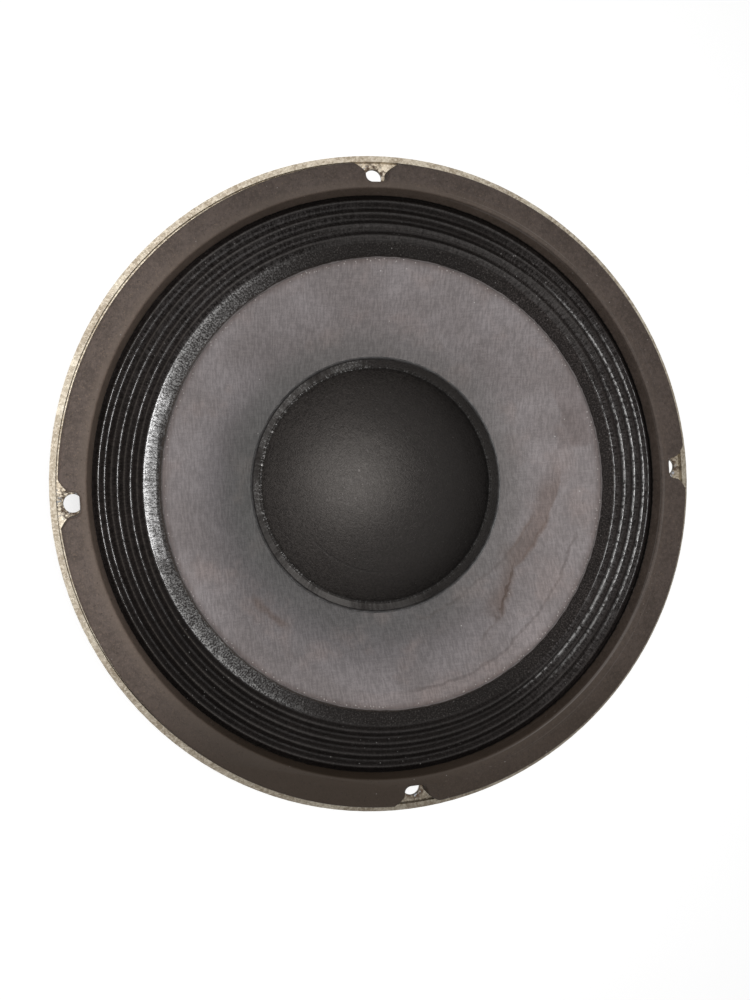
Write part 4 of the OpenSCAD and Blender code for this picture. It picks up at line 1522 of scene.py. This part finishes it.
class SubAssembly(ABC):
    """A group of pieces that are built and dressed together."""

    @abstractmethod
    def build(self) -> None:
        """Make and dress every piece of the group."""

    @staticmethod
    def dress(slot: str, *nodes: str) -> None:
        """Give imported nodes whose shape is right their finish.

        Args:
            slot: the finish's slot in the record.
            nodes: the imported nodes' names.
        """
        for node in nodes:
            PAINTBOX.paint(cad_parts[node], slot)
            LOG.info("dressed %s in %s", node, slot)

    @staticmethod
    def mount(piece: bpy.types.Object, slot: str, body: Body | None, *nodes: str) -> None:
        """Finish a new piece, put it on its body and hide the nodes that it stands for.

        Args:
            piece: the new piece.
            slot: its slot in the record.
            body: the body that it rides on, or None for a piece that is blended already.
            nodes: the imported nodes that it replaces.
        """
        PAINTBOX.paint(piece, slot)
        if body is not None:
            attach(piece, body.value)
        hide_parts(*nodes)
        faces = len(piece.data.polygons)
        LOG.info("modelled %s: %d faces, for %s", piece.name, faces, ", ".join(nodes))


# ---------- the speaker's sub-assemblies ----------


@dataclass
class PressedFrame(SubAssembly):
    """The stamped steel frame and the rivets that hold it to the magnet's plate."""

    def build(self) -> None:
        """Dress the frame and its rivets."""
        self.dress("plated_steel", "basket")
        self.dress("rivet_metal", "frame_rivets")


@dataclass
class FrontGasket(SubAssembly):
    """The thick board ring on the frame's flange, notched round each screw and off centre."""

    reach: Extent = field(default_factory=lambda: Extent.of("gasket"))
    surround: Extent = field(default_factory=lambda: Extent.of("surround"))
    outer: float = 125.75
    inner: float = 115.1
    foot: float = 113.8
    thickness: float = 5.2
    round_edge: float = 0.85
    round_steps: int = 4
    sharp: float = 40.0
    notch_mouth: float = 18.0
    notch_end: float = 9.0
    notch_land: float = 3.2
    notch_corner: float = 2.5
    notch_curve: float = 0.6
    notch_steps: int = 16
    corner_steps: int = 6
    arc_step: float = 1.5
    lip_width: float = 0.9
    cloth: float = 0.5
    slip: tuple[float, float] = (0.7, -0.65)
    clear: float = 1.0
    close_by: float = 0.1

    @property
    def low(self) -> float:
        """Return the level of the ring's flat underside."""
        return self.reach.high - self.thickness

    def _notch_half(self) -> list[Vector]:
        """Draw half of a notch on the +X side.

        Returns:
            The points of its edge in millimetres, from the gasket's outer edge inwards.
        """
        end = self.inner + self.notch_land + self.notch_corner
        side = []
        for step in range(self.notch_steps + 1):
            share = step / self.notch_steps
            half = mix(self.notch_mouth, self.notch_end, smooth(share**self.notch_curve)) / 2.0
            rim = math.sqrt(self.outer**2 - half**2)
            side.append(Vector((mix(rim, end, share), half, 0.0)))
        for step in range(1, self.corner_steps + 1):
            turn = math.radians(90.0 / self.corner_steps * step)
            out = end - self.notch_corner * math.sin(turn)
            half = self.notch_end / 2.0 - self.notch_corner * (1.0 - math.cos(turn))
            side.append(Vector((out, half, 0.0)))
        return side

    def _quarter(self) -> list[Vector]:
        """Draw the quarter of the ring round +X, with its notch.

        Returns:
            The points of its edge in millimetres, anticlockwise from its lower end.
        """
        upper = self._notch_half()
        lower = [Vector((point.x, -point.y, 0.0)) for point in upper]
        mouth = math.degrees(math.asin(self.notch_mouth / 2.0 / self.outer))
        steps = round((45.0 - mouth) / self.arc_step)
        start = [mix(-45.0, -mouth, step / steps) for step in range(steps)]
        end = [mix(mouth, 45.0, step / steps) for step in range(1, steps + 1)]
        around = round(90.0 / self.arc_step)
        back = [mix(45.0, -45.0, step / around) for step in range(around + 1)]
        edge = [self._on_circle(self.outer, turn) for turn in start]
        edge += lower + upper[::-1]
        edge += [self._on_circle(self.outer, turn) for turn in end]
        edge += [self._on_circle(self.inner, turn) for turn in back]
        return edge

    @staticmethod
    def _on_circle(radius: float, degrees: float) -> Vector:
        """Return the point at this radius and angle."""
        turn = math.radians(degrees)
        return Vector((radius * math.cos(turn), radius * math.sin(turn), 0.0))

    def _is_cut(self, place: Vector) -> bool:
        """Say whether a face's middle lies on a cut between quarters or on the underside."""
        return abs(place.x - abs(place.y)) < NEAR or place.z < self.low * MM + NEAR

    def _is_free_top(self, place: Vector) -> bool:
        """Say whether a point is on the top, outside the inner edge."""
        outside = place.xy.length > (self.inner + self.clear) * MM
        return outside and place.z > (self.low + self.clear) * MM

    def _is_inner_foot(self, place: Vector) -> bool:
        """Say whether a point is at the foot of the inner wall."""
        inside = place.xy.length < (self.inner + self.close_by) * MM
        return inside and place.z < self.low * MM + NEAR

    def _is_open_foot(self, place: Vector) -> bool:
        """Say whether a point is on one of the two open edges below."""
        outside = place.xy.length > (self.inner + self.close_by) * MM
        return outside and abs(place.z - self.low * MM) < NEAR

    def _plate(self) -> bpy.types.Object:
        """Model the ring's top and walls from one quarter and its turned copies.

        Returns:
            The ring, open below.
        """
        edge = [(point + Vector((0.0, 0.0, self.low))) * MM for point in self._quarter()]
        ring = Bench.wire("gasket_ring", edge)
        bpy.ops.mesh.select_all(action="SELECT")
        bpy.ops.mesh.remove_doubles(threshold=SAME_PLACE)
        bpy.ops.mesh.edge_face_add()
        lift = {"value": (0.0, 0.0, self.thickness * MM)}
        bpy.ops.mesh.extrude_region_move(TRANSFORM_OT_translate=lift)
        bpy.ops.object.mode_set(mode="OBJECT")
        bpy.ops.object.transform_apply(location=True, rotation=False, scale=False)
        bpy.ops.object.mode_set(mode="EDIT")
        Bench.pick(ring, self._is_cut, faces=True)
        bpy.ops.mesh.delete(type="ONLY_FACE")
        for turn in (FULL_TURN / 4.0, FULL_TURN / 2.0):
            bpy.ops.mesh.select_all(action="SELECT")
            bpy.ops.mesh.duplicate()
            bpy.ops.transform.rotate(value=turn, orient_axis="Z", center_override=ORIGIN)
        return Bench.close(ring, upwards=True)

    def build(self) -> None:
        """Model the ring, slip its top, round its edges, narrow its foot and add the lip below."""
        ring = self._plate()
        bpy.ops.object.mode_set(mode="EDIT")
        Bench.pick(ring, self._is_free_top)
        bpy.ops.transform.translate(value=(self.slip[0] * MM, self.slip[1] * MM, 0.0))
        bpy.ops.object.mode_set(mode="OBJECT")
        Bench.finish_with(
            ring,
            "BEVEL",
            width=self.round_edge * MM,
            segments=self.round_steps,
            limit_method="ANGLE",
            angle_limit=math.radians(self.sharp),
            use_clamp_overlap=False,
        )
        bpy.ops.object.mode_set(mode="EDIT")
        Bench.pick(ring, self._is_inner_foot)
        narrower = self.foot / self.inner
        bpy.ops.transform.resize(value=(narrower, narrower, 1.0), center_override=ORIGIN)
        drop = Vector((0.0, 0.0, (self.surround.low + self.cloth - self.low) * MM))
        bpy.ops.mesh.extrude_region_move(TRANSFORM_OT_translate={"value": drop})
        bpy.ops.mesh.extrude_region_move()
        wider = (self.inner + self.lip_width) / self.foot
        bpy.ops.transform.resize(value=(wider, wider, 1.0), center_override=ORIGIN)
        bpy.ops.mesh.extrude_region_move(TRANSFORM_OT_translate={"value": -drop})
        Bench.pick(ring, self._is_open_foot)
        bpy.ops.mesh.bridge_edge_loops()
        Bench.close(ring)
        Bench.smooth_by_angle(ring)
        self.mount(ring, "gasket_board", Body.FRAME, "gasket")


@dataclass
class PleatedSurround(SubAssembly):
    """The doped cloth ring that joins the paper cone to the frame's seat."""

    reach: Extent = field(default_factory=lambda: Extent.of("surround"))
    flange: float = 1.7
    pleats: int = 4
    pitch: float = 4.65
    height: float = 1.6
    band: float = 6.5
    band_drop: float = 2.3
    band_steps: int = 16
    quick_drop: float = 0.86
    drop_power: int = 15
    hem: tuple[float, float] = (0.35, 0.45)
    cloth: float = 0.5
    steps_per_pleat: int = 18
    sides: int = 288
    pull: float = 0.85
    pull_turn: float = 15.0
    pull_waves: float = 3.0
    pull_start: float = -0.25
    pull_span: float = 0.9
    frayed: float = 0.12
    frayed_width: float = 0.1
    lumps: tuple[float, float] = (5.0, 0.22)
    shelf: float = 107.5

    @property
    def groove(self) -> float:
        """Return the radius at which the flange starts."""
        return self.reach.radius - self.flange

    @property
    def seat(self) -> float:
        """Return the level of the flange's upper face."""
        return self.reach.low + self.cloth

    @property
    def band_edge(self) -> float:
        """Return the radius at which the band ends and the pleats start."""
        return self.groove - self.pleats * self.pitch

    def _top(self) -> Profile:
        """Draw the cloth's upper face.

        Returns:
            Its profile, from its edge on the paper out to its flange.
        """
        rim = self.reach.high
        edge = self.band_edge - self.band
        band_low = rim - self.band_drop
        points = [(edge - self.hem[0], rim - self.hem[1]), (edge, rim)]
        for step in range(1, self.band_steps):
            share = step / self.band_steps
            points.append((mix(edge, self.band_edge, share), rim - self._sag(share)))
        count = self.pleats * self.steps_per_pleat
        for step in range(count + 1):
            share = step / count
            wave = 1.0 - math.cos(FULL_TURN * self.pleats * share)
            level = mix(band_low, self.seat, share) + self.height / 2.0 * wave
            points.append((mix(self.band_edge, self.groove, share), level))
        points.append((self.reach.radius, self.seat))
        return ring_profile(points)

    def _sag(self, share: float) -> float:
        """Return how far the band lies below its inner edge: a quick drop, then a slope."""
        dropped = 1.0 - (1.0 - share) ** self.drop_power
        return self.band_drop * mix(share, dropped, self.quick_drop)

    def _pull_aside(self, ring: bpy.types.Object) -> None:
        """Note each point's radius for the finish, then pull the pleats unevenly on one side.

        Args:
            ring: the spun cloth.
        """
        drawn = ring.data.attributes.new(DRAWN_RADIUS, "FLOAT", "POINT")
        for point, kept in zip(ring.data.vertices, drawn.data):
            kept.value = math.hypot(point.co.x, point.co.y) / MM
            share = clamp((kept.value - self.band_edge) / (self.groove - self.band_edge))
            turn = math.atan2(point.co.y, point.co.x) - math.radians(self.pull_turn)
            near = smooth(clamp((math.cos(turn) - self.pull_start) / self.pull_span))
            shift = self.pull * math.cos(self.pull_waves * turn) * near * math.sin(math.pi * share)
            point.co.xy *= 1.0 + shift / kept.value

    def build(self) -> None:
        """Spin the cloth, work its surface, thicken it and let it bend inside the frame's shelf."""
        ring = Bench.lathe("pleated_surround", self._top(), self.sides)
        self._pull_aside(ring)
        inner = (self.band_edge - self.band + self.frayed_width) * MM
        bpy.ops.object.mode_set(mode="EDIT")
        Bench.pick(ring, lambda place: place.xy.length < inner)
        bpy.ops.transform.vertex_random(offset=self.frayed * MM, uniform=1.0, seed=4)
        bpy.ops.object.mode_set(mode="OBJECT")
        Bench.roughen(ring, *self.lumps)
        Bench.thicken(ring, self.cloth * MM)
        Bench.smooth_by_angle(ring, SOFT_EDGE)
        blend_by_radius(ring, self.shelf, self.band_edge)
        self.mount(ring, "doped_cloth", None, "surround")


@dataclass
class PaperCone(SubAssembly):
    """The curved paper cone with the eyelets that carry the leads through it."""

    reach: Extent = field(default_factory=lambda: Extent.of("cone"))
    neck: float = 26.2
    neck_top: float = 58.2
    neck_length: float = 3.0
    rim: float = 88.9
    flare: float = 260.0
    paper: float = 0.8
    lumps: tuple[float, float] = (24.0, 0.25)
    steps: int = 48
    sides: int = 256

    def _centre(self) -> tuple[float, float]:
        """Find the middle of the flare's arc, outside and below the paper.

        Returns:
            Its distance from the axis and its height, in millimetres.
        """
        rim_top = self.reach.high
        run = self.rim - self.neck
        rise = rim_top - self.neck_top
        chord = math.hypot(run, rise)
        off = math.sqrt(self.flare**2 - chord**2 / 4.0)
        across = (self.rim + self.neck) / 2.0 + rise / chord * off
        return across, (rim_top + self.neck_top) / 2.0 - run / chord * off

    def level(self, radius: float) -> float:
        """Return the height of the paper's front face at a radius, in millimetres."""
        across, down = self._centre()
        return down + math.sqrt(self.flare**2 - (radius - across) ** 2)

    def build(self) -> None:
        """Spin the paper, roll its surface slightly, thicken it, and dress its eyelets."""
        arc = [mix(self.neck, self.rim, step / self.steps) for step in range(self.steps + 1)]
        front = [(self.neck, self.neck_top - self.neck_length)]
        front += [(radius, self.level(radius)) for radius in arc]
        cone = Bench.lathe("paper_cone", ring_profile(front), self.sides)
        Bench.roughen(cone, *self.lumps)
        Bench.thicken(cone, self.paper * MM)
        Bench.smooth_by_angle(cone)
        self.mount(cone, "cone_paper", Body.MOVING, "cone")
        self.dress("eyelet_brass", "cone_eyelets")
        self.dress("solder", "eyelet_solder")


@dataclass
class DustCap(SubAssembly):
    """The domed felt cap over the voice coil and the glue round its flange."""

    cone: PaperCone
    radius: float = 52.6
    flange: float = 2.8
    step: float = 0.8
    step_rise: float = 0.7
    dome: float = 91.0
    dome_steps: int = 40
    sides: int = 224
    fold: tuple[tuple[float, float], ...] = ((0.22, 0.24), (0.48, 0.34))
    flange_rise: float = 0.25
    flange_shares: tuple[float, ...] = (0.3, 0.7, 1.0)
    felt: float = 0.6
    lumps: tuple[float, float] = (16.0, 0.30)
    glue: float = 1.2
    glue_overlap: float = 0.15
    glue_height: float = 0.50
    glue_foot: float = 0.05
    glue_lift: float = 0.10
    glue_steps: int = 6
    glue_sides: int = 320
    glue_lumps: tuple[float, float] = (2.6, 0.5)

    def _top(self) -> Profile:
        """Draw the cap's upper face.

        Returns:
            Its profile, from the dome's middle to the flange's edge.
        """
        seat = self.radius - self.flange
        foot = seat - self.step
        rise = self.cone.level(seat) + self.step_rise
        low = rise - math.sqrt(self.dome**2 - foot**2)
        points = [(0.0, low + self.dome)]
        for step in range(1, self.dome_steps + 1):
            radius = foot * step / self.dome_steps
            points.append((radius, low + math.sqrt(self.dome**2 - radius**2)))
        points += [(foot + out, rise - down) for out, down in self.fold]
        points.append((seat, self.cone.level(seat) + self.flange_rise))
        for share in self.flange_shares:
            radius = mix(seat, self.radius, share)
            points.append((radius, self.cone.level(radius)))
        return ring_profile((radius, level + self.felt) for radius, level in points)

    def build(self) -> None:
        """Model the cap and its bead of glue."""
        cap = Bench.lathe("felt_dust_cap", self._top(), self.sides)
        Bench.roughen(cap, *self.lumps)
        Bench.thicken(cap, self.felt * MM)
        Bench.smooth_by_angle(cap)
        self.mount(cap, "cap_paper", Body.MOVING, "dust_cap")
        self._lay_glue()

    def _lay_glue(self) -> None:
        """Model the glue that fills the corner between the cap's edge and the paper."""
        edge = self.radius - self.glue_overlap
        points = [(edge, self.cone.level(edge) + self.glue_foot)]
        for step in range(self.glue_steps + 1):
            turn = math.pi * step / self.glue_steps
            out = mix(edge, self.radius + self.glue, (1.0 - math.cos(turn)) / 2.0)
            rise = self.cone.level(out) + self.glue_lift + self.glue_height * math.sin(turn)
            points.append((out, rise))
        bead = Bench.lathe("cap_glue_bead", ring_profile(points), self.glue_sides, closed=True)
        Bench.roughen(bead, *self.glue_lumps)
        Bench.smooth_by_angle(bead, SOFT_EDGE)
        self.mount(bead, "black_glue", Body.MOVING, "dust_cap_glue")


@dataclass
class VoiceCoil(SubAssembly):
    """The film former with its paper collar, the winding and the flat wires up to the eyelets."""

    def build(self) -> None:
        """Dress the coil's parts."""
        self.dress("former_film", "coil_former")
        self.dress("kraft_paper", "former_collar")
        self.dress("copper_wire", "voice_coil", "coil_wire_positive", "coil_wire_negative")


@dataclass
class Spider(SubAssembly):
    """The corrugated cloth disc that centres the coil."""

    reach: Extent = field(default_factory=lambda: Extent.of("spider"))
    inner: float = 26.5
    wave_start: float = 28.5
    wave_end: float = 56.5
    waves: int = 7
    height: float = 2.2
    cloth: float = 0.6
    level: float = 50.6
    steps_per_wave: int = 14
    sides: int = 192

    def build(self) -> None:
        """Spin the corrugations, thicken the cloth and let it bend from the frame to the coil."""
        count = self.waves * self.steps_per_wave
        points = [(self.inner, self.level)]
        for step in range(count + 1):
            share = step / count
            wave = self.height / 2.0 * math.sin(FULL_TURN * self.waves * share)
            points.append((mix(self.wave_start, self.wave_end, share), self.level + wave))
        points.append((self.reach.radius, self.level))
        disc = Bench.lathe("corrugated_spider", ring_profile(points), self.sides)
        Bench.thicken(disc, self.cloth * MM)
        Bench.smooth_by_angle(disc, SOFT_EDGE)
        blend_by_radius(disc, self.wave_end, self.wave_start)
        self.mount(disc, "spider_cloth", None, "spider")


@dataclass
class TinselLeads(SubAssembly):
    """The two braided leads from the terminals to the eyelets behind the cone."""

    arm: float = 225.0
    route: tuple[Point, ...] = (
        (96.4, 16.0, 78.3),
        (92.5, 16.0, 81.3),
        (75.6, 14.5, 72.6),
        (58.8, 12.1, 65.5),
        (42.9, 11.1, 68.0),
        (40.4, 10.4, 70.7),
    )
    strands: int = 4
    lay: float = 7.0
    spread: float = 0.42
    strand: float = 0.46
    round_steps: int = 2
    steps: int = 40
    held: float = 92.0
    carried: float = 46.0

    def _middle(self, side: int) -> list[Vector]:
        """Draw a lead's middle line through the stops of its route, as a smooth curve.

        Args:
            side: 1 or -1, the side of the arm that the lead runs on.

        Returns:
            The line's points, in millimetres.
        """
        stops = [Vector((x, side * y, z)) for x, y, z in self.route]
        line = []
        for index in range(len(stops) - 1):
            before = stops[max(index - 1, 0)]
            here, there = stops[index], stops[index + 1]
            after = stops[min(index + 2, len(stops) - 1)]
            for step in range(self.steps):
                s = step / self.steps
                bend = (2 * before - 5 * here + 4 * there - after) * s * s
                turn = (3 * here - before - 3 * there + after) * s**3
                line.append((2 * here + (there - before) * s + bend + turn) / 2)
        return line + stops[-1:]

    def _strand(self, line: list[Vector], number: int) -> list[Vector]:
        """Wind one strand round a lead's middle line.

        Args:
            line: the middle line, in millimetres.
            number: which strand it is.

        Returns:
            The strand's points in metres, in the part's frame.
        """
        turned = Matrix.Rotation(math.radians(self.arm), 3, "Z")
        places, run = [], 0.0
        for index, point in enumerate(line):
            ahead = line[min(index + 1, len(line) - 1)] - line[max(index - 1, 0)]
            run += (point - line[max(index - 1, 0)]).length
            across = ahead.cross(Vector((0.0, 1.0, 0.0))).normalized()
            other = ahead.cross(across).normalized()
            angle = FULL_TURN * (run / self.lay + number / self.strands)
            offset = across * math.cos(angle) + other * math.sin(angle)
            places.append(turned @ (point + offset * self.spread) * MM)
        return places

    def _lead(self, name: str, side: int) -> bpy.types.Object:
        """Trace a lead's strands one by one and give them their thickness.

        Args:
            name: the piece's name.
            side: 1 or -1, the side of the arm that the lead runs on.

        Returns:
            The lead as one mesh.
        """
        line = self._middle(side)
        first, *others = [self._strand(line, number) for number in range(self.strands)]
        lead = Bench.wire(name, first)
        for strand in others:
            bpy.ops.mesh.primitive_plane_add(size=MM, location=strand[0])
            bpy.ops.mesh.merge(type="CENTER")
            Bench.trace(strand)
        bpy.ops.object.mode_set(mode="OBJECT")
        bpy.ops.object.transform_apply(location=True, rotation=False, scale=False)
        bpy.ops.object.convert(target="CURVE")
        lead.data.bevel_depth = self.strand * MM
        lead.data.bevel_resolution = self.round_steps
        lead.data.use_fill_caps = True
        bpy.ops.object.convert(target="MESH")
        Bench.smooth_by_angle(lead, SOFT_EDGE)
        return lead

    def build(self) -> None:
        """Wind both leads and let them bend between the frame and the cone."""
        for name, side in (("positive", 1), ("negative", -1)):
            lead = self._lead(f"braided_lead_{name}", side)
            blend_by_radius(lead, self.held, self.carried)
            self.mount(lead, "tinsel_braid", None, f"tinsel_lead_{name}")


@dataclass
class Terminals(SubAssembly):
    """The terminal board on its arm, with its tags, rivets and solder."""

    def build(self) -> None:
        """Dress the board and what is on it."""
        self.dress("phenolic_board", "terminal_board")
        self.dress("tinned_brass", "terminal_positive", "terminal_negative")
        self.dress("rivet_metal", "terminal_rivets")
        self.dress("solder", "terminal_solder")


@dataclass
class MagnetMotor(SubAssembly):
    """The ferrite ring between its steel plates, round a vented pole with a screen."""

    def build(self) -> None:
        """Dress the magnet, its plates, the pole and the screen."""
        self.dress("ferrite", "magnet")
        self.dress("magnet_steel", "top_plate", "back_plate", "pole_piece")
        self.dress("screen_wire", "vent_screen")


# ---------- the studio ----------


@dataclass
class Studio:
    """A pale floor, one broad lamp up on the left, even light from all round, and the camera."""

    eye: Point = (-86.8, -1.9, 452.5)
    tilt: Point = (0.162, -12.949, -3.7)
    lens: float = 32.4
    sensor: float = 36.0
    lamp_turn: float = 165.0
    lamp_tilt: float = 8.0
    lamp_distance: float = 0.72
    lamp_size: float = 0.21
    lamp_power: float = 3.3
    sky: float = 0.42
    near_clip: float = 0.01
    floor_size: float = 40.0
    floor_paint: Colour = (0.82, 0.82, 0.82)
    floor_glow: float = 0.45

    def place_camera(self) -> None:
        """Make the camera that looks down on the speaker from the front."""
        data = bpy.data.cameras.new("camera")
        data.lens = self.lens
        data.sensor_width = self.sensor
        data.clip_start = self.near_clip
        camera = bpy.data.objects.new("camera", data)
        camera.location = Vector(self.eye) * MM
        camera.rotation_euler = [math.radians(turn) for turn in self.tilt]
        bpy.context.scene.collection.objects.link(camera)
        bpy.context.scene.camera = camera

    def hang_lamp(self) -> None:
        """Hang the broad lamp and point it at the middle of the cone."""
        data = bpy.data.lights.new("key_lamp", "AREA")
        data.shape = "SQUARE"
        data.size = self.lamp_size
        data.energy = self.lamp_power
        turn, tilt = math.radians(self.lamp_turn), math.radians(self.lamp_tilt)
        aside = math.sin(tilt)
        way = Vector((math.cos(turn) * aside, math.sin(turn) * aside, math.cos(tilt)))
        lamp = bpy.data.objects.new("key_lamp", data)
        lamp.location = Vector((0.0, 0.0, CAD_BOX[1].z)) + way * self.lamp_distance
        lamp.rotation_euler = way.to_track_quat("Z", "Y").to_euler()
        bpy.context.scene.collection.objects.link(lamp)

    def light_sky(self) -> None:
        """Light the scene evenly from all round, behind a white backdrop."""
        world = bpy.data.worlds.new("sky")
        bpy.context.scene.world = world
        world.use_nodes = True
        tree = NodeTree(world.node_tree)
        strength = self.sky + tree.seen() * (1.0 - self.sky)
        light = tree.node("ShaderNodeBackground", {}, {"Strength": strength}).outputs[0]
        tree.node("ShaderNodeOutputWorld", {}, {"Surface": light})

    def lay_floor(self) -> None:
        """Lay the pale floor that the magnet stands on, white to the eye but for the shadow."""
        bpy.ops.object.select_all(action="DESELECT")
        bpy.ops.mesh.primitive_plane_add(size=self.floor_size)
        floor = bpy.context.object
        floor.name = "floor"
        g = Graph("floor")
        matte = g.node("ShaderNodeBsdfDiffuse", {}, {"Color": self.floor_paint}).outputs[0]
        glow = g.node("ShaderNodeEmission", {}, {"Strength": g.seen() * self.floor_glow}).outputs[0]
        both = g.node("ShaderNodeAddShader", {}, {0: matte, 1: glow}).outputs[0]
        g.node("ShaderNodeOutputMaterial", {}, {"Surface": both})
        floor.data.materials.append(g.material)

    def build(self) -> None:
        """Set up the light, the floor and the view."""
        bpy.context.scene.view_settings.view_transform = "Standard"
        self.hang_lamp()
        self.light_sky()
        self.lay_floor()


def main() -> None:
    """Build the studio and the speaker's sub-assemblies in order."""
    studio = Studio()
    studio.place_camera()
    cone = PaperCone()
    assemblies: list[SubAssembly] = [
        PressedFrame(),
        FrontGasket(),
        PleatedSurround(),
        cone,
        DustCap(cone),
        VoiceCoil(),
        Spider(),
        TinselLeads(),
        Terminals(),
        MagnetMotor(),
    ]
    for assembly in assemblies:
        LOG.info("building %s", type(assembly).__name__)
        assembly.build()
    studio.build()


if __name__ == "__main__":
    main()
